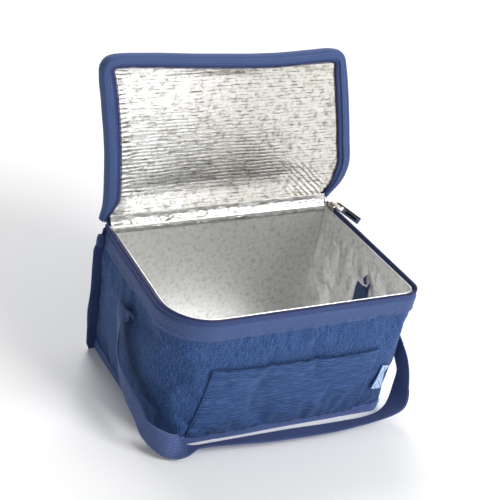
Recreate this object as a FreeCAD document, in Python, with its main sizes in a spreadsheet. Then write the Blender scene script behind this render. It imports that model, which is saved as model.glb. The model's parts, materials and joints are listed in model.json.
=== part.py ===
"""Soft insulated cooler bag with a hinged lid, built as the real one is sewn.

Frame: X to the right, Y to the back, Z up, in millimetres. The origin is the middle of the
base on the floor. The lid stands open, leaning a little back, and the webbing handle hangs
down in front of the bag and lies on the floor.
"""
import math
import os

import FreeCAD, Part
import Sketcher
from FreeCAD import Placement, Rotation, Vector

doc = FreeCAD.newDocument("cooler_bag")

# ---------------------------------------------------------------- driving dimensions
DIMENSIONS = {
    # body: half widths at the four corners of the base and of the mouth
    "base_back_left": 103, "base_back_right": 103, "base_front_left": 100, "base_front_right": 108,
    "mouth_back_left": 105, "mouth_back_right": 107, "mouth_front_left": 106, "mouth_front_right": 116,
    "back_reach": 72, "base_front_reach": 72, "mouth_front_reach": 80,
    "wall_height": 127,
    "base_corner_left": 16, "base_corner_right": 11, "mouth_corner_left": 32, "mouth_corner_right": 14,
    # layers of the wall
    "fabric": 1.0, "foam": 3.0, "foil": 0.6,
    # mouth: trim band, zipper tape and coil stacked up to the rim
    "trim_low": 108, "trim_top": 121, "tape_top": 125, "trim_proud": 1.2, "coil_proud": 0.4,
    "rim_back_gap": 3,
    # seam bindings
    "binding_width": 9, "binding_thick": 1.5, "binding_tall": 9, "fin_low": 1,
    # front pocket and its label
    "pocket_left": 76, "pocket_right": 80, "pocket_low": 9.5, "pocket_top": 79,
    "pocket_depth": 7.2, "pocket_fabric": 1.0,
    "label_wide": 11, "label_tall": 24, "label_thick": 0.8, "label_lean": 24,
    # lid, in its own closed frame: hinge line at the origin, length towards -Y
    "lid_half_width": 111, "lid_length": 149, "lid_height": 12, "lid_corner": 14,
    "lid_lean": 5, "hinge_gap": 0.3, "hinge_fold": 1.2, "hinge_fold_half": 100,
    "rim_start": 16, "rim_low": 1.2, "flange_low": 3.4, "flange_reach": 12, "lid_coil_wide": 2.5,
    "rim_wall": 1.5,
    # handle
    "strap_width": 20, "strap_thick": 1.6, "strap_patch_low": 60, "strap_patch_top": 82,
    "strap_pivot_y": -4, "strap_end_left": 104.6, "strap_end_right": 110.2,
    # slider and puller
    "slider_y": 62, "slider_long": 10, "slider_low": 4.5, "slider_top": 2.0, "slider_plate": 1.2, "slider_clear": 0.5,
    "bridge_gap": 4.6, "bridge_bar": 1.0, "bridge_long": 8, "bridge_wide": 1.0,
    "puller_long": 25, "puller_wide": 6.8, "puller_thick": 1.2, "puller_eye": 6, "puller_bar": 1.0,
    "puller_turn": 52, "puller_droop": 20,
    "end_tab_wide": 7, "end_tab_deep": 5, "end_tab_tall": 12, "end_tab_top": 120,
}

sheet = doc.addObject("Spreadsheet::Sheet", "dims")
for row, (alias, value) in enumerate(DIMENSIONS.items(), start=1):
    sheet.set(f"A{row}", alias)
    sheet.set(f"B{row}", str(value))
    sheet.setAlias(f"B{row}", alias)
doc.recompute()


def size(alias):
    """The number that the sheet holds under an alias."""
    return float(getattr(sheet, alias))


def bound(text):
    """An expression in which each word that is an alias is read from the sheet."""
    words = []
    word = ""
    for letter in text + " ":
        if letter.isalnum() or letter == "_":
            word += letter
            continue
        words.append("dims." + word if word in DIMENSIONS else word)
        words.append(letter)
        word = ""
    return "".join(words).strip()


def bind(thing, prop, text):
    """Tie one property of an object to an expression of the sheet's cells."""
    thing.setExpression(prop, bound(text))


# ---------------------------------------------------------------- sketches and plain solids
def new_body(label):
    body = doc.addObject("PartDesign::Body", label)
    body.Label = label
    return body


def plane_of(body, role):
    return next(item for item in body.Origin.OriginFeatures if item.Role == role)


def outline_sketch(body, name, corners, height="0", role="XY_Plane"):
    """A closed polygon whose corners are pairs of expressions, on a plane lifted by height."""
    sketch = body.newObject("Sketcher::SketchObject", name)
    sketch.AttachmentSupport = [(plane_of(body, role), "")]
    sketch.MapMode = "FlatFace"
    bind(sketch, "AttachmentOffset.Base.z", height)
    guess = [Vector(evaluate(x), evaluate(y), 0) for x, y in corners]
    count = len(corners)
    for index in range(count):
        sketch.addGeometry(Part.LineSegment(guess[index], guess[(index + 1) % count]), False)
    for index in range(count):
        sketch.addConstraint(Sketcher.Constraint("Coincident", index, 2, (index + 1) % count, 1))
    for index, (x, y) in enumerate(corners):
        for kind, text in (("DistanceX", x), ("DistanceY", y)):
            number = sketch.addConstraint(Sketcher.Constraint(kind, index, 1, evaluate(text)))
            bind(sketch, f"Constraints[{number}]", text)
    return sketch


def evaluate(text):
    """The value of an expression of aliases, worked out by the document itself."""
    return float(sheet.evalExpression(bound(text).replace("dims.", "")))


def pad(body, sketch, length, midplane=False):
    feature = body.newObject("PartDesign::Pad", sketch.Name + "_pad")
    feature.Profile = sketch
    feature.Midplane = midplane
    bind(feature, "Length", length)
    return feature


def round_edges(body, feature, chosen, radius):
    """Fillet the edges of a feature that a test picks out by their two ends."""
    doc.recompute()
    names = []
    for number, edge in enumerate(feature.Shape.Edges, start=1):
        low, high = edge.Vertexes[0].Point, edge.Vertexes[-1].Point
        if chosen(low, high):
            names.append(f"Edge{number}")
    fillet = body.newObject("PartDesign::Fillet", feature.Name + "_round")
    fillet.Base = (feature, names)
    bind(fillet, "Radius", radius)
    return fillet


def upright(low, high):
    return abs(low.z - high.z) > 0.5 and math.hypot(low.x - high.x, low.y - high.y) < 25


def box(label, x, y, z):
    """A box given by pairs of expressions, its low and high side along each axis."""
    block = doc.addObject("Part::Box", label)
    block.Label = label
    for axis, side, (low, high) in (("x", "Length", x), ("y", "Width", y), ("z", "Height", z)):
        bind(block, f"Placement.Base.{axis}", low)
        bind(block, side, f"({high}) - ({low})")
    return block


def cut(label, base, tool):
    result = doc.addObject("Part::Cut", label)
    result.Label = label
    result.Base, result.Tool = base, tool
    return result


def common(label, base, tool):
    result = doc.addObject("Part::Common", label)
    result.Label = label
    result.Base, result.Tool = base, tool
    return result


# ---------------------------------------------------------------- tapered body and its layers
def level_wire(level, height, inset):
    """The bag's outline at the base or the mouth, drawn in by inset, front corners rounded."""
    back, front = size("back_reach"), -size(level + "_front_reach")
    corners = [Vector(-size(level + "_back_left"), back), Vector(-size(level + "_front_left"), front),
               Vector(size(level + "_front_right"), front), Vector(size(level + "_back_right"), back)]
    radii = [0, size(level + "_corner_left"), size(level + "_corner_right"), 0]
    sides = [(corners[(i + 1) % 4] - corners[i]).normalize() for i in range(4)]
    drawn_in = []
    for i in range(4):
        before, after = sides[i - 1], sides[i]
        reach = inset / before.cross(after).z
        drawn_in.append(corners[i] + (after - before) * reach + Vector(0, 0, height))
    edges = []
    ends = []
    for i in range(4):
        turn = sides[i - 1].getAngle(sides[i])
        setback = max(radii[i] - inset, 0) * math.tan(turn / 2) if radii[i] else 0
        ends.append((drawn_in[i] - sides[i - 1] * setback, drawn_in[i] + sides[i] * setback))
    for i in range(4):
        start, stop = ends[i]
        if radii[i]:
            radius = radii[i] - inset
            middle = drawn_in[i] + (sides[i] - sides[i - 1]).normalize() * (
                radius / math.cos(sides[i - 1].getAngle(sides[i]) / 2) - radius)
            edges.append(Part.Arc(start, middle, stop).toShape())
        edges.append(Part.LineSegment(stop, ends[(i + 1) % 4][0]).toShape())
    return Part.Wire(edges)


def body_form(label, inset_text):
    """The bag's outer form, drawn in by inset on every side: a ruled loft from base to mouth."""
    inset = evaluate(inset_text)
    form = doc.addObject("Part::Feature", label)
    form.Shape = Part.makeLoft([level_wire("base", 0, inset),
                                level_wire("mouth", size("wall_height"), inset)], True, True)
    form.Placement = Placement()
    return form


def slab(label, low, high, front="-200", back="200", left="-200", right="200"):
    return box(label, (left, right), (front, back), (low, high))


outer = body_form("form_outer", "0")
inside_fabric = body_form("form_inside_fabric", "fabric")
inside_foam = body_form("form_inside_foam", "fabric + foam")
inside_foil = body_form("form_inside_foil", "fabric + foam + foil")

BACK_TOP = "wall_height - hinge_fold - 0.4"
LAYERS = (
    # name, outer form, inner form, depth of the layer from outside, thickness
    ("panel", outer, inside_fabric, "0", "fabric"),
    ("foam", inside_fabric, inside_foam, "fabric", "foam"),
    ("lining", inside_foam, inside_foil, "fabric + foam", "foil"),
)
for layer, shell_out, shell_in, start, thick in LAYERS:
    ring = cut(f"ring_{layer}", shell_out, shell_in)
    split = f"back_reach - ({start}) - {thick}"
    common(f"wall_{layer}", ring, slab(f"front_of_{layer}", start, "trim_top", back=split))
    common(f"back_{layer}", ring, slab(f"back_of_{layer}", start, BACK_TOP, front=split))
    common(f"base_{layer}", shell_in, slab(f"floor_of_{layer}", start, f"{start} + {thick}"))

# ---------------------------------------------------------------- mouth: trim, tape and coil
RIM_BACK = "back_reach - rim_back_gap"
form_trim = body_form("form_trim", "-trim_proud")
form_coil_out = body_form("form_coil_out", "-coil_proud")
form_coil_in = body_form("form_coil_in", "fabric + coil_proud")
RIMS = (
    ("mouth_trim", form_trim, outer, "trim_low", "trim_top"),
    ("mouth_zipper_tape", outer, inside_fabric, "trim_top", "tape_top"),
    ("mouth_zipper_coil", form_coil_out, form_coil_in, "tape_top", "wall_height"),
)
for name, shell_out, shell_in, low, high in RIMS:
    ring = cut(f"ring_{name}", shell_out, shell_in)
    common(name, ring, slab(f"span_of_{name}", low, high, back=RIM_BACK))

# ---------------------------------------------------------------- seam bindings
form_binding = body_form("form_binding", "-binding_thick")
ring = cut("ring_base_binding", form_binding, outer)
common("base_binding", ring, slab("span_of_base_binding", "0", "binding_tall", back="back_reach - 2"))

for side, sign, low_half, high_half in (("left", -1, "base_back_left", "mouth_back_left"),
                                        ("right", 1, "base_back_right", "mouth_back_right")):
    fin = new_body(f"{side}_seam_binding")
    reach = [f"{'-' if sign < 0 else ''}({half} + {extra})"
             for half, extra in ((low_half, "binding_thick + 0.2"), (low_half, "binding_width"),
                                 (high_half, "binding_width"), (high_half, "binding_thick + 0.2"))]
    heights = ["fin_low", "fin_low", "trim_top", "trim_top"]
    sketch = outline_sketch(fin, f"{side}_seam_outline", list(zip(reach, heights)), "0", "XZ_Plane")
    pad(fin, sketch, "binding_thick")
    bind(fin, "Placement.Base.y", "back_reach")


TAB_DEPTH = ("back_reach - 1.8 - end_tab_deep", "back_reach - 1.8")
TAB_HEIGHT = ("end_tab_top - end_tab_tall", "end_tab_top")
box("left_zipper_end_tab", ("-mouth_back_left - 1.5 - end_tab_wide", "-mouth_back_left - 1.5"),
    TAB_DEPTH, TAB_HEIGHT)
box("right_zipper_end_tab", ("mouth_back_right + 1.5", "mouth_back_right + 1.5 + end_tab_wide"),
    TAB_DEPTH, TAB_HEIGHT)

# ---------------------------------------------------------------- front pocket and label
form_pocket_out = body_form("form_pocket_out", "-pocket_depth")
form_pocket_in = body_form("form_pocket_in", "-pocket_depth + pocket_fabric")
pocket_block = common("pocket_block", cut("pocket_ring", form_pocket_out, outer),
                      slab("pocket_span", "pocket_low", "pocket_top", back="0",
                           left="-pocket_left", right="pocket_right"))
pocket_hollow = common("pocket_hollow", form_pocket_in,
                       slab("pocket_room", "pocket_low + pocket_fabric", "pocket_top + 5", back="0",
                            left="-pocket_left + pocket_fabric",
                            right="pocket_right - pocket_fabric"))
cut("front_pocket", pocket_block, pocket_hollow)

label = new_body("side_label")
label_outline = outline_sketch(label, "label_outline",
                               [("0", "0"), ("label_wide", "0"), ("label_wide", "label_tall"),
                                ("0", "label_tall")], "0", "XZ_Plane")
pad(label, label_outline, "label_thick")
label.Placement = Placement(Vector(), Rotation(Vector(0, 1, 0), size("label_lean")))
bind(label, "Placement.Base.x", "pocket_right + 1.5")
bind(label, "Placement.Base.y", "-base_front_reach - 3.6")
bind(label, "Placement.Base.z", "pocket_top - 45")
bind(label, "Placement.Rotation.Angle", "label_lean")


# ---------------------------------------------------------------- lid
def hang_on_hinge(thing):
    """Turn a piece drawn in the closed lid's frame up to where the open lid stands."""
    thing.Placement = Placement(Vector(), Rotation(Vector(1, 0, 0), -90 - size("lid_lean")))
    bind(thing, "Placement.Base.y", "back_reach + hinge_gap")
    bind(thing, "Placement.Base.z", "wall_height")
    bind(thing, "Placement.Rotation.Angle", "-90 - lid_lean")


def front_corner(low, high):
    return upright(low, high) and low.y < -size("lid_length") / 2


lid_panel = new_body("lid_panel")
profile = [("0", "hinge_fold + 0.4"), ("0", "lid_height"), ("-lid_length", "lid_height"),
           ("-lid_length", "lid_height - fabric"), ("-fabric", "lid_height - fabric"),
           ("-fabric", "hinge_fold + 0.4")]
lid_sketch = outline_sketch(lid_panel, "lid_profile", profile, "0", "YZ_Plane")
round_edges(lid_panel, pad(lid_panel, lid_sketch, "2 * lid_half_width", midplane=True),
            front_corner, "lid_corner")
hang_on_hinge(lid_panel)

for name, top, thick, inset in (("lid_foam", "lid_height - fabric", "foam", "rim_wall + 0.5"),
                                ("lid_lining", "lid_height - fabric - foam", "foil", "rim_wall + 1")):
    layer_body = new_body(name)
    half = f"lid_half_width - ({inset})"
    far = f"-lid_length + ({inset})"
    near = "-fabric - 0.5"
    sheet_outline = outline_sketch(layer_body, name + "_outline",
                                   [(f"-({half})", far), (half, far), (half, near), (f"-({half})", near)],
                                   f"{top} - {thick}")
    round_edges(layer_body, pad(layer_body, sheet_outline, thick), front_corner,
                f"lid_corner - ({inset})")
    hang_on_hinge(layer_body)


def lid_band(name, outer_inset, width, low, high):
    """A band round three sides of the lid, open towards the hinge."""
    band = new_body(name)
    half, far, near = f"lid_half_width - ({outer_inset})", f"-lid_length + ({outer_inset})", "-rim_start"
    inner_half, inner_far = f"{half} - ({width})", f"{far} + ({width})"
    corners = [(f"-({half})", near), (f"-({half})", far), (half, far), (half, near),
               (inner_half, near), (inner_half, inner_far), (f"-({inner_half})", inner_far),
               (f"-({inner_half})", near)]
    u_shape = outline_sketch(band, name + "_outline", corners, low)
    solid = pad(band, u_shape, f"({high}) - ({low})")
    edge = evaluate(half)

    def outer_corner(a, b):
        return front_corner(a, b) and abs(a.x) > edge - 0.1

    def inner_corner(a, b):
        return front_corner(a, b) and abs(a.x) < edge - 0.1

    inner_radius = f"lid_corner - ({outer_inset}) - ({width})"
    if evaluate(inner_radius) > 0.5:
        solid = round_edges(band, solid, inner_corner, inner_radius)
    round_edges(band, solid, outer_corner, f"lid_corner - ({outer_inset})")
    hang_on_hinge(band)


lid_band("lid_trim", "0", "rim_wall", "flange_low", "lid_height - fabric")
lid_band("lid_zipper_tape", "0", "flange_reach", "flange_low - 1", "flange_low")
lid_band("lid_zipper_coil", "flange_reach", "lid_coil_wide", "rim_low", "flange_low")

hinge_fold = doc.addObject("Part::Cylinder", "hinge_fold")
hinge_fold.Placement = Placement(Vector(), Rotation(Vector(0, 1, 0), 90))
bind(hinge_fold, "Radius", "hinge_fold")
bind(hinge_fold, "Height", "2 * hinge_fold_half")
bind(hinge_fold, "Placement.Base.x", "-hinge_fold_half")
bind(hinge_fold, "Placement.Base.y", "back_reach + hinge_gap")
bind(hinge_fold, "Placement.Base.z", "wall_height")

# ---------------------------------------------------------------- slider, bridge and puller
rim_turn = math.degrees(math.atan2(size("mouth_front_right") - size("mouth_back_right"),
                                   size("back_reach") + size("mouth_front_reach")))
SLIDER_X = ("mouth_back_right - fabric / 2 + (back_reach - slider_y)"
            " * (mouth_front_right - mouth_back_right) / (back_reach + mouth_front_reach)")


def ride_on_rim(thing, spin=0.0, droop=0.0):
    """Put a piece drawn about the slider's middle on the right rim, turned to run along it."""
    along = Rotation(Vector(0, 0, 1), rim_turn + spin)
    thing.Placement = Placement(Vector(), along.multiply(Rotation(Vector(0, 1, 0), droop)))
    bind(thing, "Placement.Base.x", SLIDER_X)
    bind(thing, "Placement.Base.y", "slider_y")
    bind(thing, "Placement.Base.z", "wall_height")


HALF_GAP = "fabric / 2 + coil_proud + slider_clear"
slider = new_body("slider_body")
channel = [(f"-({HALF_GAP} + slider_plate)", "-slider_low"), (f"-({HALF_GAP})", "-slider_low"),
           (f"-({HALF_GAP})", "slider_clear"), (HALF_GAP, "slider_clear"),
           (HALF_GAP, "-slider_low"), (f"{HALF_GAP} + slider_plate", "-slider_low"),
           (f"{HALF_GAP} + slider_plate", "slider_top"),
           (f"-({HALF_GAP} + slider_plate)", "slider_top")]
slider_outline = outline_sketch(slider, "slider_outline", channel, "0", "XZ_Plane")
pad(slider, slider_outline, "slider_long", midplane=True)
ride_on_rim(slider)

FACE = f"({HALF_GAP} + slider_plate)"
bridge = new_body("slider_bridge")
arch = [(FACE, "-bridge_long / 2"), (f"{FACE} + bridge_gap + bridge_bar", "-bridge_long / 2"),
        (f"{FACE} + bridge_gap + bridge_bar", "bridge_long / 2"), (FACE, "bridge_long / 2"),
        (FACE, "bridge_long / 2 - bridge_bar"),
        (f"{FACE} + bridge_gap", "bridge_long / 2 - bridge_bar"),
        (f"{FACE} + bridge_gap", "-bridge_long / 2 + bridge_bar"),
        (FACE, "-bridge_long / 2 + bridge_bar")]
pad(bridge, outline_sketch(bridge, "bridge_outline", arch), "bridge_wide", midplane=True)
ride_on_rim(bridge)

puller = new_body("puller")
puller_outline = outline_sketch(puller, "puller_outline",
                                [("-puller_bar / 2", "-puller_wide / 2"),
                                 ("puller_long - puller_bar / 2", "-puller_wide / 2"),
                                 ("puller_long - puller_bar / 2", "puller_wide / 2"),
                                 ("-puller_bar / 2", "puller_wide / 2")], "0", "XZ_Plane")
puller_solid = pad(puller, puller_outline, "puller_thick", midplane=True)
doc.recompute()
eye_outline = outline_sketch(puller, "puller_eye_outline",
                             [("puller_bar / 2", "-puller_wide / 2 + puller_bar"),
                              ("puller_bar / 2 + puller_eye", "-puller_wide / 2 + puller_bar"),
                              ("puller_bar / 2 + puller_eye", "puller_wide / 2 - puller_bar"),
                              ("puller_bar / 2", "puller_wide / 2 - puller_bar")], "0", "XZ_Plane")
eye = puller.newObject("PartDesign::Pocket", "puller_eye_cut")
eye.Profile = eye_outline
eye.Midplane = True
bind(eye, "Length", "3 * puller_thick")
ride_on_rim(puller, -size("puller_turn"), size("puller_droop"))
PIVOT_OUT = f"({FACE} + bridge_gap / 2)"
bind(puller, "Placement.Base.x", f"{SLIDER_X} + {PIVOT_OUT}")

# ---------------------------------------------------------------- webbing handle
HANDLE_ROUTE = (
    # middle of the webbing, and the direction across its width
    ((-108.8, -4, 88.5), (0, -1, 0)),
    ((-112.4, -3.7, 91.8), (0.4, -1, 0)),
    ((-116, -2.5, 84), (-0.15, -1, 0)),
    ((-117.5, -7.5, 67), (-0.4, -0.9, 0.1)),
    ((-118.2, -13, 53), (-0.35, -0.8, 0.4)),
    ((-118.2, -24, 41.5), (-0.15, -0.6, 0.8)),
    ((-117.3, -39, 34), (0, -0.4, 0.93)),
    ((-115.5, -55, 28.5), (0.05, -0.3, 0.95)),
    ((-113.5, -72, 21.5), (0.1, -0.25, 0.93)),
    ((-101.5, -85, 15), (0.35, 0.05, 0.75)),
    ((-88, -86.5, 10), (0.45, 0.45, 0.15)),
    ((-75, -86.5, 7.2), (0.43, 0.74, -0.5)),
    ((-57, -87.5, 7.2), (0.4, 0.75, -0.5)),
    ((-33, -88.5, 6.6), (0.2, 0.85, -0.42)),
    ((-9, -89.5, 6), (0.05, 1, -0.35)),
    ((18, -90.5, 6), (0, 1, -0.3)),
    ((46, -91.5, 6), (0, 1, -0.33)),
    ((66, -91.5, 6.4), (0, 1, -0.4)),
    ((86, -91, 7), (-0.1, 1, -0.5)),
    ((103, -89.5, 9.5), (-0.3, 1, -0.5)),
    ((114.5, -86, 15.5), (-0.4, 1, -0.3)),
    ((119.8, -80, 27), (-0.15, 1, 0)),
    ((120.4, -76.8, 41), (0, 1, 0.1)),
    ((120.8, -67, 52), (0, 0.9, 0.4)),
    ((120.6, -48, 63), (0, 0.7, 0.7)),
    ((119.5, -22, 82), (0, 0.6, 0.8)),
    ((116.9, -5.2, 93.5), (0, 1, 0.2)),
    ((114.6, -4, 89.5), (0, 1, 0)),
)


def webbing(route, width, thick):
    """A flat strap through the middles of its route: one rectangle at each, joined by flat facets."""
    middles = [Vector(*middle) for middle, _ in route]
    last = len(middles) - 1
    rings = []
    for index, (_, across) in enumerate(route):
        ahead = middles[min(index + 1, last)] - middles[max(index - 1, 0)]
        ahead.normalize()
        side = Vector(*across)
        side = side - ahead * side.dot(ahead)
        side.normalize()
        normal = ahead.cross(side)
        rings.append([middles[index] + side * (i * width / 2) + normal * (j * thick / 2)
                      for i, j in ((-1, -1), (1, -1), (1, 1), (-1, 1))])
    facets = [(ring[0], ring[a], ring[b]) for ring in (rings[0], rings[-1]) for a, b in ((1, 2), (2, 3))]
    for near, far in zip(rings, rings[1:]):
        for a, b in ((0, 1), (1, 2), (2, 3), (3, 0)):
            facets.append((near[a], near[b], far[b]))
            facets.append((near[a], far[b], far[a]))
    shell = Part.makeShell([Part.Face(Part.makePolygon([*corners, corners[0]])) for corners in facets])
    solid = Part.makeSolid(shell)
    if solid.Volume < 0:
        solid.reverse()
    return solid


handle = doc.addObject("Part::Feature", "carry_handle")
handle.Shape = webbing(HANDLE_ROUTE, size("strap_width"), size("strap_thick"))
handle.Placement = Placement()

for side, low, high in (("left", "-strap_end_left - strap_thick", "-strap_end_left"),
                        ("right", "strap_end_right", "strap_end_right + strap_thick")):
    box(f"{side}_strap_end", (low, high),
        ("strap_pivot_y - strap_width / 2", "strap_pivot_y + strap_width / 2"),
        ("strap_patch_low", "strap_patch_top"))

# ---------------------------------------------------------------- check and write
NODES = ("wall_panel wall_foam wall_lining back_panel back_foam back_lining base_panel base_foam"
         " base_lining mouth_trim mouth_zipper_tape mouth_zipper_coil base_binding"
         " left_seam_binding right_seam_binding left_zipper_end_tab right_zipper_end_tab"
         " front_pocket side_label lid_panel lid_foam lid_lining lid_trim lid_zipper_tape"
         " lid_zipper_coil hinge_fold slider_body slider_bridge puller carry_handle"
         " left_strap_end right_strap_end").split()

doc.recompute()
for item in doc.Objects:
    if "Invalid" in item.State or "Error" in item.State:
        raise RuntimeError(f"{item.Label} failed: {item.State}")
os.makedirs("parts", exist_ok=True)
for name in NODES:
    piece = doc.getObject(name)
    if piece.Shape.isNull() or not piece.Shape.isValid() or not piece.Shape.Solids:
        raise RuntimeError(f"{name} has no valid solid")
    piece.Shape.exportStep(os.path.join("parts", name + ".step"))
    span = piece.Shape.BoundBox
    print(f"{name:24s} {len(piece.Shape.Solids)} solid {piece.Shape.Volume:10.0f} mm3 "
          f"x {span.XMin:7.1f} {span.XMax:7.1f} y {span.YMin:7.1f} {span.YMax:7.1f} "
          f"z {span.ZMin:7.1f} {span.ZMax:7.1f}")
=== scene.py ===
# %% [markdown]
# # An insulated cooler bag with its lid thrown open
# The real bag is sewn: a blue polyester skin, a thin sheet of foam and a foil lining make each
# wall, tapes cover the seams, and a zipper runs round three sides of the mouth. Each of those
# pieces is made here as a closed mesh of its own, around a fixed frame that gives the sizes.

# %% Load the fixed frame
import itertools
import json
import math

import bmesh
import bpy
import numpy as np
from mathutils import Matrix, Vector


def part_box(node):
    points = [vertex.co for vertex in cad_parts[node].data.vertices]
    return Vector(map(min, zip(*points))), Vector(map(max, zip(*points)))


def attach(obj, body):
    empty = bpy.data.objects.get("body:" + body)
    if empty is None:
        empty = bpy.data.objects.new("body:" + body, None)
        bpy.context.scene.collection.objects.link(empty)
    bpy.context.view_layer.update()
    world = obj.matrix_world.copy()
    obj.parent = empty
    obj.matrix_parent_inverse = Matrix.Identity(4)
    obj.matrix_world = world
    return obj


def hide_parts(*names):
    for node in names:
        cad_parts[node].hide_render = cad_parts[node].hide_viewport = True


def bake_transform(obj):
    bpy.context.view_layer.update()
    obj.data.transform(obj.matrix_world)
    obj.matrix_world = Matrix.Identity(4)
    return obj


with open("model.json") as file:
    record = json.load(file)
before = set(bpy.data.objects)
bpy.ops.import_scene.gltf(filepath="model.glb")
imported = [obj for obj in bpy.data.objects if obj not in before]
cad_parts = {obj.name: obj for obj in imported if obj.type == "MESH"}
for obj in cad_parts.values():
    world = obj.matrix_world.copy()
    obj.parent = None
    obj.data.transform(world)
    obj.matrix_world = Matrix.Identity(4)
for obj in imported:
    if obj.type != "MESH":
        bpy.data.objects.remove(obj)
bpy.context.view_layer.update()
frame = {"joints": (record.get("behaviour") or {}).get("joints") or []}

MM = 0.001

# %% [markdown]
# ## Camera, floor and light
# A long lens from above the left front corner keeps the sides nearly parallel, as a catalogue
# picture does, and the camera is turned a little about its own axis. The floor is plain and pale.
# Foil is a mirror full of creases, so it needs bright and dark things to reflect: three large soft
# boxes, a pale floor, and a room that darkens overhead and to the left give both.

# %% Camera
CAMERA_TURN = math.radians(-30.1)
CAMERA_RISE = math.radians(31.0)
CAMERA_ROLL = math.radians(9.8)
CAMERA_FAR = 1202 * MM
CAMERA_AIM = Vector((-3.4, 3.0, 131.0)) * MM
CAMERA_LENS = 104.2


def aim_camera():
    """A camera that looks at the aim point from its turn and rise, rolled about its own axis."""
    back = Vector((math.sin(CAMERA_TURN) * math.cos(CAMERA_RISE),
                   -math.cos(CAMERA_TURN) * math.cos(CAMERA_RISE), math.sin(CAMERA_RISE)))
    level = Vector((math.cos(CAMERA_TURN), math.sin(CAMERA_TURN), 0))
    upright = back.cross(level)
    right = level * math.cos(CAMERA_ROLL) + upright * math.sin(CAMERA_ROLL)
    up = upright * math.cos(CAMERA_ROLL) - level * math.sin(CAMERA_ROLL)
    camera = bpy.data.objects.new("camera", bpy.data.cameras.new("camera"))
    camera.data.lens = CAMERA_LENS
    camera.matrix_world = Matrix.Translation(CAMERA_AIM + back * CAMERA_FAR) @ Matrix(
        (right, up, back)).transposed().to_4x4()
    bpy.context.scene.collection.objects.link(camera)
    bpy.context.scene.camera = camera
    return camera


print("camera at", [round(value, 3) for value in aim_camera().location])


# %% Colours
PAPER = "#FBFBFB"


def linear(code):
    """An sRGB hex colour as linear red, green, blue and alpha."""
    parts = [int(code[i:i + 2], 16) / 255 for i in (1, 3, 5)]
    return [part / 12.92 if part <= 0.04045 else ((part + 0.055) / 1.055) ** 2.4 for part in parts] + [1]


print("pale floor is", [round(part, 2) for part in linear(PAPER)])


# %% One function adds a node
def add(tree, kind, inputs=None, **settings):
    """A node of a tree with its settings; each input is a value or another node's output."""
    node = tree.nodes.new(kind)
    for name, value in settings.items():
        setattr(node, name, value)
    for name, value in (inputs or {}).items():
        if isinstance(value, bpy.types.NodeSocket):
            tree.links.new(value, node.inputs[name])
        else:
            node.inputs[name].default_value = value
    return node


# %% Ramps, sums and noise
def ramp(tree, factor, *stops):
    """A colour ramp from pairs of position and sRGB hex colour."""
    node = add(tree, "ShaderNodeValToRGB", {"Fac": factor})
    band = node.color_ramp
    while len(band.elements) < len(stops):
        band.elements.new(0.5)
    for element, (position, code) in zip(band.elements, stops):
        element.position = position
        element.color = linear(code)
    return node.outputs["Color"]


def tint(tree, colour, by):
    """One colour multiplied by another."""
    return add(tree, "ShaderNodeMix", {0: 1.0, 6: colour, 7: by}, data_type="RGBA",
               blend_type="MULTIPLY").outputs[2]


def maths(tree, kind, *values):
    """The result of a sum on numbers and other nodes' outputs."""
    return add(tree, "ShaderNodeMath", dict(enumerate(values)), operation=kind).outputs[0]


def noise(tree, vector, detail, roughness=0.5, scale=1.0):
    """The outputs of a noise texture."""
    return add(tree, "ShaderNodeTexNoise", {"Vector": vector, "Scale": scale, "Detail": detail,
                                            "Roughness": roughness}).outputs


print("ramps, sums and noise ready")


# %% Floor, soft boxes and room
FLOOR_HALF = 6.0
ROOM_STRENGTH = 1.3
LIGHT_AIM = Vector((0, 0, 0.1))
BOXES = (
    # name, place, side in metres, watts
    ("left_front_box", (-1.6, -1.2, 1.5), 1.4, 4),
    ("right_front_box", (1.2, -1.7, 1.6), 1.2, 50),
    ("back_box", (0.3, 1.9, 2.1), 1.4, 40),
)


def lay_floor():
    mesh = bpy.data.meshes.new("floor")
    corners = [(x * FLOOR_HALF, y * FLOOR_HALF, 0) for x, y in ((-1, -1), (1, -1), (1, 1), (-1, 1))]
    mesh.from_pydata(corners, [], [(0, 1, 2, 3)])
    floor = bpy.data.objects.new("floor", mesh)
    bpy.context.scene.collection.objects.link(floor)
    paint = bpy.data.materials.new("matt paper")
    paint.use_nodes = True
    skin = paint.node_tree.nodes["Principled BSDF"]
    skin.inputs["Base Color"].default_value = linear(PAPER)
    skin.inputs["Roughness"].default_value = 0.9
    skin.inputs["Specular IOR Level"].default_value = 0.1
    mesh.materials.append(paint)
    return floor


def hang_box(name, place, side, watts):
    lamp = bpy.data.lights.new(name, "AREA")
    lamp.size = side
    lamp.energy = watts
    box = bpy.data.objects.new(name, lamp)
    box.location = place
    box.rotation_euler = (LIGHT_AIM - Vector(place)).to_track_quat("-Z", "Y").to_euler()
    bpy.context.scene.collection.objects.link(box)


def fill_room(strength):
    """A room that is darker overhead and to the left, so that shiny things have both to show."""
    room = bpy.data.worlds.new("room")
    room.use_nodes = True
    tree = room.node_tree
    way = add(tree, "ShaderNodeSeparateXYZ", {
        "Vector": add(tree, "ShaderNodeTexCoord").outputs["Generated"]})
    rise = ramp(tree, way.outputs["Z"],
                (0.0, "#FFFFFF"), (0.3, "#F7F7F7"), (0.6, "#9C9C9C"), (1.0, "#8A8A8A"))
    across = maths(tree, "MULTIPLY_ADD", way.outputs["X"], 0.5, 0.5)
    turn = ramp(tree, across, (0.0, "#686868"), (0.35, "#BEBEBE"), (0.7, "#FFFFFF"))
    tree.links.new(tint(tree, rise, turn), tree.nodes["Background"].inputs["Color"])
    tree.nodes["Background"].inputs["Strength"].default_value = strength
    bpy.context.scene.world = room


lay_floor()
for entry in BOXES:
    hang_box(*entry)
fill_room(ROOM_STRENGTH)
bpy.context.scene.view_settings.view_transform = "Standard"
print("lights", [entry[0] for entry in BOXES])

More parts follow.
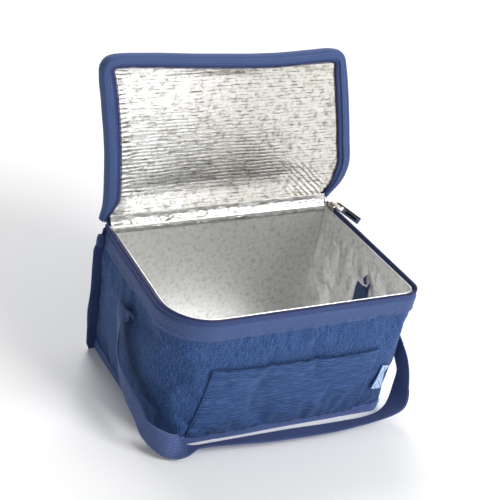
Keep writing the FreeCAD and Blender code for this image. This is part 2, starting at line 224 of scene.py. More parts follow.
# %% [markdown]
# ## Cloth by numbers
# Every soft piece is a sheet with a rule: a grid of points, rows up and columns along. A second
# grid on its other side gives it thickness, and the two are closed along their edges. The helpers
# below draw smooth lines through a few points, resample a grid, find its normals, add wrinkles
# from seeded noise, and turn two grids into one closed mesh with a cloth map in metres.


# %% Smooth lines and finer grids
def refine(grid, places, axis=0):
    """Points of a grid at fractional places along one axis, on smooth curves through its points."""
    grid = np.moveaxis(np.asarray(grid, float), axis, 0)
    last = len(grid) - 1
    places = np.clip(np.asarray(places, float), 0, last)
    base = np.minimum(places.astype(int), last - 1)
    t = (places - base).reshape(-1, *[1] * (grid.ndim - 1))
    p1, p2 = grid[base], grid[base + 1]
    p0 = np.where((base > 0).reshape(t.shape), grid[base - 1], 2 * p1 - p2)
    p3 = np.where((base + 2 <= last).reshape(t.shape), grid[np.minimum(base + 2, last)], 2 * p2 - p1)
    curve = 0.5 * (2 * p1 + (p2 - p0) * t + (2 * p0 - 5 * p1 + 4 * p2 - p3) * t ** 2
                   + (3 * p1 - p0 - 3 * p2 + p3) * t ** 3)
    return np.moveaxis(curve, 0, axis)


def lengths(line):
    """Distance along a line at each of its points."""
    return np.concatenate([[0], np.cumsum(np.linalg.norm(np.diff(line, axis=0), axis=1))])


def even(line, count):
    """A line with its points evenly spaced."""
    run = lengths(line)
    where = np.linspace(0, run[-1], count)
    return np.stack([np.interp(where, run, line[:, axis]) for axis in range(line.shape[1])], axis=1)


def smooth_line(points, count):
    """A smooth line through a few points, with evenly spaced points of its own."""
    points = np.asarray(points, float)
    return even(refine(points, np.linspace(0, len(points) - 1, 12 * len(points))), count)


def ease(value, low=0.0, high=1.0):
    """A smooth step from 0 to 1 as the value goes from low to high."""
    share = np.clip((value - low) / (high - low), 0, 1)
    return share * share * (3 - 2 * share)


print("a smooth step", [round(float(ease(value)), 2) for value in (0, 0.25, 0.5, 1)])


# %% Normals and seeded noise
def unit(vectors):
    return vectors / np.maximum(np.linalg.norm(vectors, axis=-1, keepdims=True), 1e-9)


def normals(grid):
    """Outward normals of a grid whose columns run along and whose rows run up."""
    return unit(np.cross(np.gradient(grid, axis=1), np.gradient(grid, axis=0)))


def wander(points, size, seed):
    """Smooth seeded noise from -1 to 1, with features of a size, at points in millimetres."""
    cell = np.asarray(points, float) / size
    corner = np.floor(cell).astype(np.int64)
    part = cell - corner
    weight = part * part * (3 - 2 * part)
    total = 0
    for offset in itertools.product((0, 1), repeat=cell.shape[-1]):
        key = (corner + offset) @ np.array([73856093, 19349663, 83492791][:cell.shape[-1]]) + seed * 9176
        key = (key ^ (key >> 13)) * 1274126177 & 0x7FFFFFFF
        value = ((key ^ (key >> 15)) & 0xFFFF) / 32767.5 - 1
        total = total + value * np.prod(np.where(offset, weight, 1 - weight), axis=-1)
    return total


def crumple(points, size, seed):
    """Creased noise, as in foil: sharp ridges between rounder hollows, at three sizes."""
    return sum((0.5 - np.abs(wander(points, size / 2 ** step, seed + step))) / 1.8 ** step
               for step in range(3))


print("noise sample", np.round(wander([[1, 2, 3], [40, 50, 60]], 20, 1), 3))


# %% From grids to closed meshes
def cloth_map(grid):
    """Distance along and up a grid, in millimetres, for the weave to follow."""
    middle_row, middle_column = grid[len(grid) // 2], grid[:, grid.shape[1] // 2]
    along, up = np.meshgrid(lengths(middle_row), lengths(middle_column))
    return np.stack([along, up], axis=-1)


def closed_sheet(name, outer, inner, wrap=False, uv=None):
    """A closed mesh between two grids in millimetres, with faces outwards and a cloth map."""
    rows, columns = outer.shape[:2]
    index = np.arange(rows * columns).reshape(rows, columns)
    ring = np.concatenate([index, index[:, :1]], axis=1) if wrap else index
    far = rows * columns

    def quads(a, b, c, d):
        return np.stack([a, b, c, d], axis=-1).reshape(-1, 4)

    faces = [quads(ring[:-1, :-1], ring[:-1, 1:], ring[1:, 1:], ring[1:, :-1]),
             quads(ring[1:, :-1], ring[1:, 1:], ring[:-1, 1:], ring[:-1, :-1]) + far]
    edges = [ring[0], ring[-1][::-1]] + ([] if wrap else [ring[::-1, 0], ring[:, -1]])
    for edge in edges:
        faces.append(quads(edge[1:], edge[:-1], edge[:-1] + far, edge[1:] + far))
    faces = np.concatenate(faces)
    points = np.concatenate([outer.reshape(-1, 3), inner.reshape(-1, 3)])
    a, b, c, d = (points[faces[:, k]] for k in range(4))
    volume = (np.cross(b - a, c - a) * a).sum() + (np.cross(c - a, d - a) * a).sum()
    if volume < 0:
        faces = faces[:, ::-1]
    mesh = bpy.data.meshes.new(name)
    mesh.from_pydata((points * MM).tolist(), [], faces.tolist())
    flat = (cloth_map(outer) if uv is None else uv).reshape(-1, 2) * MM
    flat = np.concatenate([flat, flat])
    layer = mesh.uv_layers.new(name="cloth")
    corner = np.empty(len(mesh.loops), np.int32)
    mesh.loops.foreach_get("vertex_index", corner)
    layer.data.foreach_set("uv", flat[corner].ravel())
    mesh.polygons.foreach_set("use_smooth", [True] * len(mesh.polygons))
    mesh.validate()
    return place(name, mesh)


def place(name, mesh):
    piece = bpy.data.objects.new(name, mesh)
    bpy.context.scene.collection.objects.link(piece)
    return piece


def merge_points(piece, within=0.02 * MM):
    """Closes poles and seams where a grid's points fall together."""
    work = bmesh.new()
    work.from_mesh(piece.data)
    bmesh.ops.remove_doubles(work, verts=work.verts, dist=within)
    work.to_mesh(piece.data)
    work.free()
    return piece


def finish_piece(piece, body, slot, material, *stands_for):
    """Gives a piece its material, its body and the nodes that it stands for; its slot is not used."""
    piece.data.materials.clear()
    piece.data.materials.append(material)
    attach(piece, body)
    if stands_for:
        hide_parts(*stands_for)
    return piece


# %% [markdown]
# ## Finishes
# The skin is heathered polyester: dark and light yarns lie side by side, so the colour breaks up
# into short streaks along the yarn over a plain weave. Tapes are a twill, with fine slanting ribs.
# The lining is aluminised film heat-sealed to foam: a mirror, dulled by countless creases, with its fold
# hollows painted darker as painted shade.
# Colours come from one function, and each pattern's scale is a real size in millimetres.


# %% Start a material
def new_material(name, **sockets):
    material = bpy.data.materials.new(name)
    material.use_nodes = True
    skin = material.node_tree.nodes["Principled BSDF"]
    for socket, value in sockets.items():
        skin.inputs[socket.replace("_", " ")].default_value = value
    return material, material.node_tree, skin


def cloth_coordinates(tree, across, up):
    """The piece's cloth map, divided by a size in millimetres each way."""
    uv = add(tree, "ShaderNodeUVMap", uv_map="cloth")
    return add(tree, "ShaderNodeMapping", {"Vector": uv.outputs["UV"],
                                           "Scale": (1 / (across * MM), 1 / (up * MM), 1)}).outputs["Vector"]


def sine_bands(tree, vector, axis):
    """Bands of a period of one along an axis of a vector, from 0 to 1."""
    parts = add(tree, "ShaderNodeSeparateXYZ", {"Vector": vector})
    wave = maths(tree, "SINE", maths(tree, "MULTIPLY", parts.outputs[axis], 2 * math.pi))
    return maths(tree, "MULTIPLY_ADD", wave, 0.5, 0.5)


def set_bump(tree, skin, height, strength, millimetres):
    bump = add(tree, "ShaderNodeBump", {"Height": height, "Strength": strength,
                                        "Distance": millimetres * MM})
    tree.links.new(bump.outputs["Normal"], skin.inputs["Normal"])


print("helpers for finishes ready")


# %% Heathered polyester: soft, dry, streaked along the yarn
WEAVE = 0.9
HEATHER = ("#182C4F", "#2A4778", "#4A679B")


def heathered(name, streak_across, streak_along, dark, middle, light):
    """Streaks are as coarse as they need to show; the weave is a plain one, 0.9 mm a pair."""
    material, tree, skin = new_material(name, Roughness=0.85, Sheen_Weight=0.25, Sheen_Roughness=0.5)
    skin.inputs["Sheen Tint"].default_value = linear("#9FB4DC")
    skin.inputs["Specular IOR Level"].default_value = 0.25
    streaks = noise(tree, cloth_coordinates(tree, streak_across, streak_along), 3.0, 0.6)["Fac"]
    yarn = noise(tree, cloth_coordinates(tree, streak_across * 3, WEAVE), 2.0)["Fac"]
    share = maths(tree, "MULTIPLY", maths(tree, "ADD", streaks, yarn), 0.5)
    tree.links.new(ramp(tree, share, (0.36, dark), (0.5, middle), (0.66, light)), skin.inputs["Base Color"])
    weave = cloth_coordinates(tree, WEAVE, WEAVE)
    threads = maths(tree, "MULTIPLY", sine_bands(tree, weave, "X"), sine_bands(tree, weave, "Y"))
    set_bump(tree, skin, maths(tree, "ADD", threads, streaks), 0.5, 0.25)
    return material


skin_cloth = heathered("heathered polyester, upright yarn", 0.8, 9, *HEATHER)
pocket_cloth = heathered("heathered polyester, level yarn", 8, 0.9, *HEATHER)
print(skin_cloth.name, "|", pocket_cloth.name)


# %% Twill tape and ribbed webbing: slanting or crosswise ribs, a faint shine along them
def twill(name, shade, light, rib, slant=1.0):
    """Ribs at a real spacing, slanting across the tape."""
    material, tree, skin = new_material(name, Roughness=0.7, Sheen_Weight=0.2)
    skin.inputs["Sheen Tint"].default_value = linear("#A9B8E6")
    skin.inputs["Specular IOR Level"].default_value = 0.3
    uv = add(tree, "ShaderNodeUVMap", uv_map="cloth")
    turned = add(tree, "ShaderNodeMapping", {"Vector": uv.outputs["UV"],
                                             "Rotation": (0, 0, slant),
                                             "Scale": (1 / (rib * MM), 1 / (rib * MM), 1)})
    ribs = sine_bands(tree, turned.outputs["Vector"], "X")
    fluff = noise(tree, cloth_coordinates(tree, 2.5, 0.6), 3.0)["Fac"]
    tone = maths(tree, "ADD", fluff, maths(tree, "MULTIPLY", ribs, 0.45))
    tree.links.new(ramp(tree, tone, (0.3, shade), (1.0, light)), skin.inputs["Base Color"])
    set_bump(tree, skin, tone, 0.5, 0.3)
    return material


trim_cloth = twill("polyester twill tape", "#26375F", "#495D8C", 1.6)
tape_cloth = twill("knitted zipper tape", "#202C52", "#3A4C80", 1.2, slant=0.0)
binding_cloth = twill("navy binding tape", "#1C294B", "#3A4B7C", 1.4)
base_cloth = twill("navy binding tape, base", "#2E4070", "#5A6FA6", 1.4)
strap_cloth = twill("polypropylene webbing", "#2A3860", "#506192", 1.8, slant=math.pi / 2)
print([cloth.name for cloth in (trim_cloth, tape_cloth, binding_cloth, strap_cloth)])


# %% Aluminised film: a creased mirror
def film(name, tone, roughness, fine_size, strength, rib=None):
    """The film's finest creases, too small for its mesh, are bumps a millimetre or two long."""
    material, tree, skin = new_material(name, Metallic=1.0, Roughness=roughness)
    place_of = add(tree, "ShaderNodeTexCoord").outputs["Object"]
    cells = add(tree, "ShaderNodeTexVoronoi", {"Vector": place_of, "Scale": 1 / (fine_size * MM),
                                               "Detail": 2.0, "Randomness": 1.0}, feature="F1")
    folds = noise(tree, place_of, 4.0, 0.65, 1 / (3 * fine_size * MM))["Fac"]
    height = maths(tree, "ADD", cells.outputs["Distance"], folds)
    # The tone follows the same fold noise as the bump, so the fold hollows are painted darker: painted
    # shade.
    shade = ramp(tree, folds, (0.34, tone[0]), (0.46, tone[1]), (0.6, tone[2]))
    if rib:
        bend = noise(tree, cloth_coordinates(tree, 26, 9), 2.0)["Color"]
        shift = add(tree, "ShaderNodeVectorMath", {0: bend, 1: (0, 1.5, 0)}, operation="MULTIPLY")
        line = add(tree, "ShaderNodeVectorMath", {0: cloth_coordinates(tree, 1, rib),
                                                  1: shift.outputs["Vector"]}, operation="ADD")
        # Dark lines along the rib valleys are painted shade, for the shade in the film's creases; the gaps
        # noise breaks them up.
        valleys = sine_bands(tree, line.outputs["Vector"], "Y")
        broken = noise(tree, cloth_coordinates(tree, 9, 2), 3.0, 0.7)["Fac"]
        shade_gaps = add(tree, "ShaderNodeMapRange", {"Value": broken, "From Min": 0.36, "From Max": 0.62,
                                                "To Min": 0.0, "To Max": 0.55})
        groove = maths(tree, "ADD", valleys, shade_gaps.outputs["Result"])
        dark = ramp(tree, groove, (0.0, "#6E6C69"), (0.16, "#A9A7A3"), (0.42, "#FFFFFF"))
        shade = tint(tree, shade, dark)
        # The lid film is painted darker towards its right side: painted shade.
        across = add(tree, "ShaderNodeSeparateXYZ", {
            "Vector": cloth_coordinates(tree, 100, 100)}).outputs["X"]
        rightward_shade = add(tree, "ShaderNodeMapRange", {"Value": across, "From Min": -0.7, "From Max": 0.2})
        right_side_shade = ramp(tree, rightward_shade.outputs["Result"], (0.0, "#FFFFFF"), (1.0, "#D6D4D0"))
        shade = tint(tree, shade, right_side_shade)
    tree.links.new(shade, skin.inputs["Base Color"])
    set_bump(tree, skin, height, strength, 0.3)
    return material


# The lid film's ribs bring in its painted crease shade and the painted shade on its right side.
lid_film = film("aluminised film", ("#B9B7B2", "#F2F0EC", "#FFFFFF"), 0.22, 1.6, 0.25, rib=3.1)
# The film inside the bag is the same film with paler tones: painted light, to brighten the bag's shaded
# inside.
bag_film = film("aluminised film, inside", ("#DCDCDA", "#F4F4F2", "#FFFFFF"), 0.42, 1.5, 0.3)
# The hinge film is a darker grey copy of the same film: painted shade, for the band that turns away from the
# light at the fold.
shaded_hinge_film = film("aluminised film, painted shade at the hinge", ("#A3A29F", "#B1B0AD", "#BDBCB9"),
                  0.42, 1.8, 0.2)
print(lid_film.name, "|", bag_film.name, "|", shaded_hinge_film.name)


# %% Nylon, foam, thread, ribbon and nickel
def plain(name, code, grain, bump, **sockets):
    """A finish with a fine grain of its own: colour and height vary at a real grain size."""
    material, tree, skin = new_material(name, **sockets)
    fine = noise(tree, add(tree, "ShaderNodeTexCoord").outputs["Object"], 3.0, scale=1 / (grain * MM))["Fac"]
    tree.links.new(ramp(tree, fine, (0.3, code[0]), (0.7, code[1])), skin.inputs["Base Color"])
    set_bump(tree, skin, fine, bump, 0.1)
    return material


coil_nylon = plain("nylon coil", ("#262B57", "#3B4076"), 1.0, 0.2, Roughness=0.42)
foam_sheet = plain("polyethylene foam", ("#E9E9E4", "#FAFAF6"), 1.5, 0.6, Roughness=0.8)
thread = plain("polyester thread", ("#33487C", "#5F77B4"), 0.6, 0.4, Roughness=0.55)
nickel = plain("plated zinc", ("#B9AE9E", "#DDD4C6"), 2.0, 0.1, Metallic=1.0, Roughness=0.28)
# A darker copy of the same plating: painted shade on the slider's side and on the puller's rails and middle
# panel.
shaded_nickel = plain("plated zinc, painted shade", ("#2B2622", "#4A423A"), 2.0, 0.1, Metallic=1.0,
                    Roughness=0.35)
print(coil_nylon.name, foam_sheet.name, thread.name, nickel.name, shaded_nickel.name)

# %% [markdown]
# ## The bag's skin
# The wall is one long strip sewn round the base: up the left side, round the front, back along
# the right. Here it is a surface between two rounded outlines, one on the floor and one at the
# mouth. The mouth spreads wider than the base and the corners are rounder there, as cloth over
# soft foam makes them. Cloth simulation then lets the strip settle between its sewn edges.

# %% Outlines at the floor and the mouth, millimetres
BACK_Y = 72.0
RIM_Z = round(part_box("mouth_zipper_coil")[1].z / MM, 1)
TRIM_LOW = round(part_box("mouth_trim")[0].z / MM, 1)
TRIM_TOP = round(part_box("mouth_trim")[1].z / MM, 1)
TAPE_TOP = round(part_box("mouth_zipper_tape")[1].z / MM, 1)
BASE = {"back": (-103, 103), "front": (-99, 108), "front_y": -73, "rounds": (17, 11)}
MOUTH = {"back": (-105, 107), "front": (-105, 118), "front_y": -81, "rounds": (42, 13)}
FABRIC, FOAM, FOIL = 1.0, 3.0, 0.6
STRETCHES = (46, 17, 62, 10, 54)


def outline(level):
    """The bag's outline from back left round the front to back right, on matching points."""
    (back_left, back_right), (front_left, front_right) = level["back"], level["front"]
    front_y = level["front_y"]
    corners = np.array([(back_left, BACK_Y), (front_left, front_y), (front_right, front_y),
                        (back_right, BACK_Y)], float)
    parts = []
    start = corners[0]
    for corner, radius, after, straight, bend in ((1, level["rounds"][0], 2, *STRETCHES[0:2]),
                                                  (2, level["rounds"][1], 3, *STRETCHES[2:4])):
        into = unit(corners[corner] - corners[corner - 1])
        away = unit(corners[after] - corners[corner])
        half = math.acos(float(into @ away)) / 2
        first = corners[corner] - into * radius * math.tan(half)
        centre = first + np.array([-into[1], into[0]]) * radius
        angles = np.linspace(0, 2 * half, bend + 1)[:, None]
        arm = first - centre
        arc = centre + arm * np.cos(angles) + np.array([-arm[1], arm[0]]) * np.sin(angles)
        parts += [np.linspace(start, first, straight + 1)[:-1], arc[:-1]]
        start = arc[-1]
    parts.append(np.linspace(start, corners[3], STRETCHES[4] + 1))
    return np.concatenate(parts)


base_line, mouth_line = outline(BASE), outline(MOUTH)
FRONT = slice(STRETCHES[0] + STRETCHES[1], sum(STRETCHES[:3]) + 1)
print("wall strip", len(base_line), "points round,", round(lengths(base_line)[-1]), "mm at the floor,",
      round(lengths(mouth_line)[-1]), "mm at the mouth")

# %% The wall before it settles
WALL_ROWS = 43


def wall_start():
    """A ruled surface with a slight belly, and a soft sway of seeded noise away from its sewn edges."""
    up = np.linspace(0, 1, WALL_ROWS)[:, None, None]
    low = np.pad(base_line, ((0, 0), (0, 1)))[None]
    high = np.pad(mouth_line, ((0, 0), (0, 1)), constant_values=RIM_Z)[None]
    grid = low + (high - low) * up
    outwards = normals(grid)
    belly = np.sin(np.pi * up[..., 0]) ** 0.8
    sway = wander(grid, 55, 4) * 1.6 + wander(grid, 24, 9) * 0.6
    sewn = ease(up[..., 0], 0, 0.2) * (1 - ease(up[..., 0], 0.72, 0.86))
    return grid + outwards * ((0.8 * belly + sway * sewn)[..., None])


wall = wall_start()
print("wall grid", wall.shape)


# %% Settle cloth between its sewn edges
def settle(grid, held, pressure, slack, cap, frames=20):
    """Cloth simulation of a grid in millimetres: held points stay, the rest move at most cap."""
    rows, columns = grid.shape[:2]
    index = np.arange(rows * columns).reshape(rows, columns)
    faces = np.stack([index[:-1, :-1], index[:-1, 1:], index[1:, 1:], index[1:, :-1]], axis=-1)
    mesh = bpy.data.meshes.new("settling")
    mesh.from_pydata((grid.reshape(-1, 3) * MM).tolist(), [], faces.reshape(-1, 4).tolist())
    piece = place("settling", mesh)
    group = piece.vertex_groups.new(name="sewn")
    for weight, members in ((1.0, index[held >= 0.99]), (0.5, index[(held > 0.3) & (held < 0.99)])):
        group.add(members.ravel().tolist(), weight, "REPLACE")
    cloth = piece.modifiers.new("Cloth", "CLOTH")
    cloth.settings.vertex_group_mass = "sewn"
    cloth.settings.quality = 6
    cloth.settings.mass = 0.15
    cloth.settings.tension_stiffness = 25
    cloth.settings.compression_stiffness = 25
    cloth.settings.bending_stiffness = 1.5
    cloth.settings.shrink_min = -slack
    cloth.settings.use_pressure = True
    cloth.settings.uniform_pressure_force = pressure
    cloth.settings.effector_weights.gravity = 0
    scene = bpy.context.scene
    scene.frame_start, scene.frame_end = 1, frames
    cloth.point_cache.frame_start, cloth.point_cache.frame_end = 1, frames
    for step in range(1, frames + 1):
        scene.frame_set(step)
    found = piece.evaluated_get(bpy.context.evaluated_depsgraph_get()).to_mesh()
    settled = np.empty(rows * columns * 3)
    found.vertices.foreach_get("co", settled)
    scene.frame_set(1)
    bpy.data.objects.remove(piece)
    move = settled.reshape(grid.shape) / MM - grid
    reach = np.linalg.norm(move, axis=-1, keepdims=True)
    return grid + move * np.minimum(1, cap / np.maximum(reach, 1e-6))


def hold_edges(rows, columns, low=1, high=1, sides=1):
    """1 for points that are sewn down along the edges, 0 elsewhere."""
    held = np.zeros((rows, columns))
    held[:low] = 1
    held[rows - high:] = 1
    if sides:
        held[:, :sides] = held[:, columns - sides:] = 1
    return held


trim_rows = round(WALL_ROWS * (RIM_Z - TRIM_LOW) / RIM_Z)
wall = settle(wall, hold_edges(*wall.shape[:2], low=3, high=trim_rows), 1.2, 0.012, 5.0)
print("wall spans", np.round(wall.min((0, 1))), np.round(wall.max((0, 1))))

# %% Pieces of the wall: skin, foam and lining
wall_out = normals(wall)


def wall_piece(low, high, rows, columns, depth, first=0.0, last=1.0):
    """The wall between two heights, drawn in by a depth, on a grid of its own."""
    up = np.linspace(low, high, rows) / RIM_Z * (WALL_ROWS - 1)
    along = np.linspace(first, last, columns) * (wall.shape[1] - 1)
    surface = refine(refine(wall, up), along, 1)
    return surface - unit(refine(refine(wall_out, up), along, 1)) * depth


WALL_COLUMNS = wall.shape[1]
wall_skin = closed_sheet("wall_skin", wall_piece(0, TRIM_TOP, 84, 2 * WALL_COLUMNS, 0),
                         wall_piece(0, TRIM_TOP, 84, 2 * WALL_COLUMNS, FABRIC))
finish_piece(wall_skin, "bag", "melange_fabric", skin_cloth, "wall_panel")
wall_padding = closed_sheet("wall_padding", wall_piece(FABRIC, TRIM_TOP, WALL_ROWS, WALL_COLUMNS, FABRIC),
                            wall_piece(FABRIC, TRIM_TOP, WALL_ROWS, WALL_COLUMNS, FABRIC + FOAM))
finish_piece(wall_padding, "bag", "foam", foam_sheet, "wall_foam")
print("wall skin", len(wall_skin.data.polygons), "faces")


# %% Foil that creases as it is bent
def creased(surface, outwards, depth, uv, rib=3.0, rib_height=0.12, crease=0.3, seed=1, rough=1.0):
    """Foil at a depth under a surface: ribs pressed in at a real spacing, then crumpled."""
    wave = uv[..., 1] / rib + 0.35 * wander(uv, 21, seed) + 0.12 * wander(uv, 6, seed + 1)
    pillow = np.sqrt(np.abs(np.sin(np.pi * wave)))
    strength = 0.55 + 0.45 * wander(uv / [1, 2.5], 16, seed + 2)
    lift = rib_height * pillow * strength + crease * rough * crumple(surface, 9, seed + 3)
    return surface - outwards * (depth - lift)[..., None]


def wall_lining(name, low, high, rows, columns, seed):
    up = np.linspace(low, high, rows) / RIM_Z * (WALL_ROWS - 1)
    along = np.linspace(0, 1, columns) * (WALL_COLUMNS - 1)
    surface = refine(refine(wall, up), along, 1)
    outwards = unit(refine(refine(wall_out, up), along, 1))
    uv = cloth_map(surface)
    back = surface - outwards * (FABRIC + FOAM)
    face = creased(surface, -outwards, -(FABRIC + FOAM + FOIL), uv[..., ::-1], 3.0, 0.06, 0.18, seed)
    return closed_sheet(name, back, face, uv=uv)


wall_foil = wall_lining("wall_foil", FABRIC + FOAM, TAPE_TOP, 100, 3 * WALL_COLUMNS, 11)
finish_piece(wall_foil, "bag", "foil", bag_film, "wall_lining")
print("wall foil", len(wall_foil.data.polygons), "faces")

# %% [markdown]
# ## Back and base
# The back is a flat panel between the two rear seams, and the lid hangs from its upper edge. The
# base is cut to the outline of the floor. Both are the same three layers as the wall, so one
# function makes a layer from a surface, and the foil gets its creases again.


# %% Back panel
def back_surface(y, rows, columns, low, high, inset):
    up = np.linspace(low, high, rows)[:, None]
    share = up / RIM_Z
    left = BASE["back"][0] + (MOUTH["back"][0] - BASE["back"][0]) * share + inset
    right = BASE["back"][1] + (MOUTH["back"][1] - BASE["back"][1]) * share - inset
    across = np.linspace(0, 1, columns)[None]
    x = left + (right - left) * across
    grid = np.stack([x, np.full_like(x, y), np.broadcast_to(up, x.shape)], axis=-1)
    belly = 1.6 * wander(grid, 60, 31) * np.sin(np.pi * across) * np.sin(np.pi * np.clip(share, 0, 1))
    grid[..., 1] += belly
    return grid


BACK_TOP = RIM_Z - 1.6
back_skin = closed_sheet("back_skin", back_surface(BACK_Y, 60, 90, 0, BACK_TOP, 0)[:, ::-1],
                         back_surface(BACK_Y - FABRIC, 60, 90, 0, BACK_TOP, 0)[:, ::-1])
finish_piece(back_skin, "bag", "melange_fabric", skin_cloth, "back_panel")
back_padding = closed_sheet("back_padding",
                            back_surface(BACK_Y - FABRIC, 30, 45, FABRIC, BACK_TOP, FABRIC),
                            back_surface(BACK_Y - FABRIC - FOAM, 30, 45, FABRIC, BACK_TOP, FABRIC))
finish_piece(back_padding, "bag", "foam", foam_sheet, "back_foam")


def back_lining():
    plain_back = back_surface(BACK_Y - FABRIC - FOAM, 150, 240, FABRIC + FOAM, BACK_TOP, FABRIC + FOAM)
    towards = np.broadcast_to([0.0, 1.0, 0.0], plain_back.shape)
    uv = cloth_map(plain_back)
    near_hinge = ease(plain_back[..., 2], 70, 118)
    rough = 0.5 + 1.1 * near_hinge
    face = creased(plain_back, towards, np.full(plain_back.shape[:2], FOIL), uv, 3.2,
                   0.08, 0.2, 51, rough)
    return closed_sheet("back_foil", face, plain_back, uv=uv)


back_foil = back_lining()
finish_piece(back_foil, "bag", "foil", bag_film, "back_lining")
print("back foil", len(back_foil.data.polygons), "faces")


# %% Base
def floor_grid(inset, height, rings, columns, seed=None):
    """A disc of rings that shrink from the base outline towards the middle."""
    line = np.concatenate([base_line, np.linspace(base_line[-1], base_line[0], 72)[1:-1]])
    tangent = unit(np.roll(line, -1, axis=0) - np.roll(line, 1, axis=0))
    inner = line - np.stack([tangent[:, 1], -tangent[:, 0]], axis=-1) * inset
    inner = even(np.concatenate([inner, inner[:1]]), columns + 1)[:-1]
    middle = inner.mean(0)
    share = np.linspace(0, 1, rings)[:, None, None]
    flat = middle + (inner - middle)[None] * share
    grid = np.concatenate([flat, np.full((*flat.shape[:2], 1), float(height))], axis=-1)
    if seed is not None:
        grid[..., 2] += 0.4 * crumple(flat, 10, seed) * (share[..., 0] < 0.999)
    return grid


def floor_layer(name, low, high, inset, rings, columns, seed=None):
    top = floor_grid(inset, high, rings, columns, seed)
    layer = closed_sheet(name, top, floor_grid(inset, low, rings, columns), wrap=True,
                         uv=top[..., :2])
    return merge_points(layer)


base_skin = floor_layer("base_skin", 0, FABRIC, 0.6, 24, 220)
finish_piece(base_skin, "bag", "melange_fabric", skin_cloth, "base_panel")
base_padding = floor_layer("base_padding", FABRIC, FABRIC + FOAM, 1.2, 16, 160)
finish_piece(base_padding, "bag", "foam", foam_sheet, "base_foam")
base_foil = floor_layer("base_foil", FABRIC + FOAM, FABRIC + FOAM + FOIL, 4.2, 70, 420, seed=61)
finish_piece(base_foil, "bag", "foil", bag_film, "base_lining")
print("base foil", len(base_foil.data.polygons), "faces")

# %% [markdown]
# ## Bands round the bag
# A twill tape folded over the mouth's edge, the zipper's tape above it, and a narrow binding over
# the bottom seam all follow the same wall. Each is the wall between two heights, lifted off it and
# rounded at both edges, so it keeps every sway of the cloth beneath.


# %% A band that follows the wall
def wall_band(name, low, high, lift, under, rows, columns, last=1.0, lip=0.6, wave=0.0, seed=0):
    """A band on the wall, thick in its middle, with its two edges rolled back to the cloth."""
    share = np.linspace(0, 1, rows)[:, None]
    roll = 1 - np.clip(np.abs(share - 0.5) * 2, 0, 1) ** 6 * lip
    surface = wall_piece(low, high, rows, columns, 0, 0, last)
    outwards = normals(surface)
    ripple = wave * wander(surface, 18, seed)
    outer = surface + outwards * (lift * roll + ripple)[..., None]
    inner = surface + outwards * np.broadcast_to(under, ripple.shape)[..., None]
    return closed_sheet(name, outer, inner)


TURN_END = 0.998
mouth_band = wall_band("mouth_band", TRIM_LOW - 1, TRIM_TOP + 0.5, 1.3, 0.1, 14, 500, TURN_END,
                       0.5, 0.25, 71)
finish_piece(mouth_band, "bag", "trim_tape", trim_cloth, "mouth_trim")
mouth_tape = wall_band("mouth_tape", TRIM_TOP, TAPE_TOP + 0.6, 0.5, -0.9, 6, 400, TURN_END, 0.4, 0.1, 72)
finish_piece(mouth_tape, "bag", "zipper_tape", tape_cloth, "mouth_zipper_tape")
bottom_band = wall_band("bottom_band", 0.05, 9.5, 1.5, 0.1, 12, 500, 1.0, 0.7, 0.3, 73)
finish_piece(bottom_band, "bag", "binding_tape", base_cloth, "base_binding")
print("bands", mouth_band.name, mouth_tape.name, bottom_band.name)

# %% [markdown]
# ## Front pocket and label
# A patch of the same cloth, turned so that its yarn lies level, is sewn to the front wall along
# three sides. Its open upper edge is hemmed and gapes a little, so it is lifted off the wall most
# in the middle of that edge and not at all along its seams. The label is a short woven ribbon.


# %% Places on the front wall
FRONT_LOW = (base_line[FRONT][0][0], base_line[FRONT][-1][0])
FRONT_HIGH = (mouth_line[FRONT][0][0], mouth_line[FRONT][-1][0])


def sample(grid, row, column):
    """Points of a grid at fractional rows and columns, straight between its own points."""
    row = np.clip(row, 0, grid.shape[0] - 1.001)
    column = np.clip(column, 0, grid.shape[1] - 1.001)
    r, c = row.astype(int), column.astype(int)
    a, b = (row - r)[..., None], (column - c)[..., None]
    return ((grid[r, c] * (1 - b) + grid[r, c + 1] * b) * (1 - a)
            + (grid[r + 1, c] * (1 - b) + grid[r + 1, c + 1] * b) * a)


fine_wall = refine(refine(wall, np.linspace(0, WALL_ROWS - 1, 4 * WALL_ROWS)),
                   np.linspace(0, WALL_COLUMNS - 1, 4 * WALL_COLUMNS), 1)


def on_front(x, z):
    """Points of the front wall at places across and up, in millimetres."""
    share = z / RIM_Z
    left = FRONT_LOW[0] + (FRONT_HIGH[0] - FRONT_LOW[0]) * share
    right = FRONT_LOW[1] + (FRONT_HIGH[1] - FRONT_LOW[1]) * share
    column = FRONT.start + (x - left) / (right - left) * (FRONT.stop - 1 - FRONT.start)
    return sample(fine_wall, share * (4 * WALL_ROWS - 1),
                  column / (WALL_COLUMNS - 1) * (4 * WALL_COLUMNS - 1))


def patch(corners, rows, columns):
    """A four-sided patch of the front wall; corners are top left, top right, low left, low right."""
    (tlx, tlz), (trx, trz), (blx, blz), (brx, brz) = corners
    s, t = np.meshgrid(np.linspace(0, 1, columns), np.linspace(0, 1, rows))
    x = (blx + (brx - blx) * s) * (1 - t) + (tlx + (trx - tlx) * s) * t
    z = (blz + (brz - blz) * s) * (1 - t) + (tlz + (trz - tlz) * s) * t
    return on_front(x, z), s, t


print("front wall centre", np.round(on_front(np.array([0.0]), np.array([60.0])), 1))

# %% Pocket
POCKET = ((-67, 80), (84, 77), (-79, 8), (77, 8))
POCKET_GAPE = 2.6


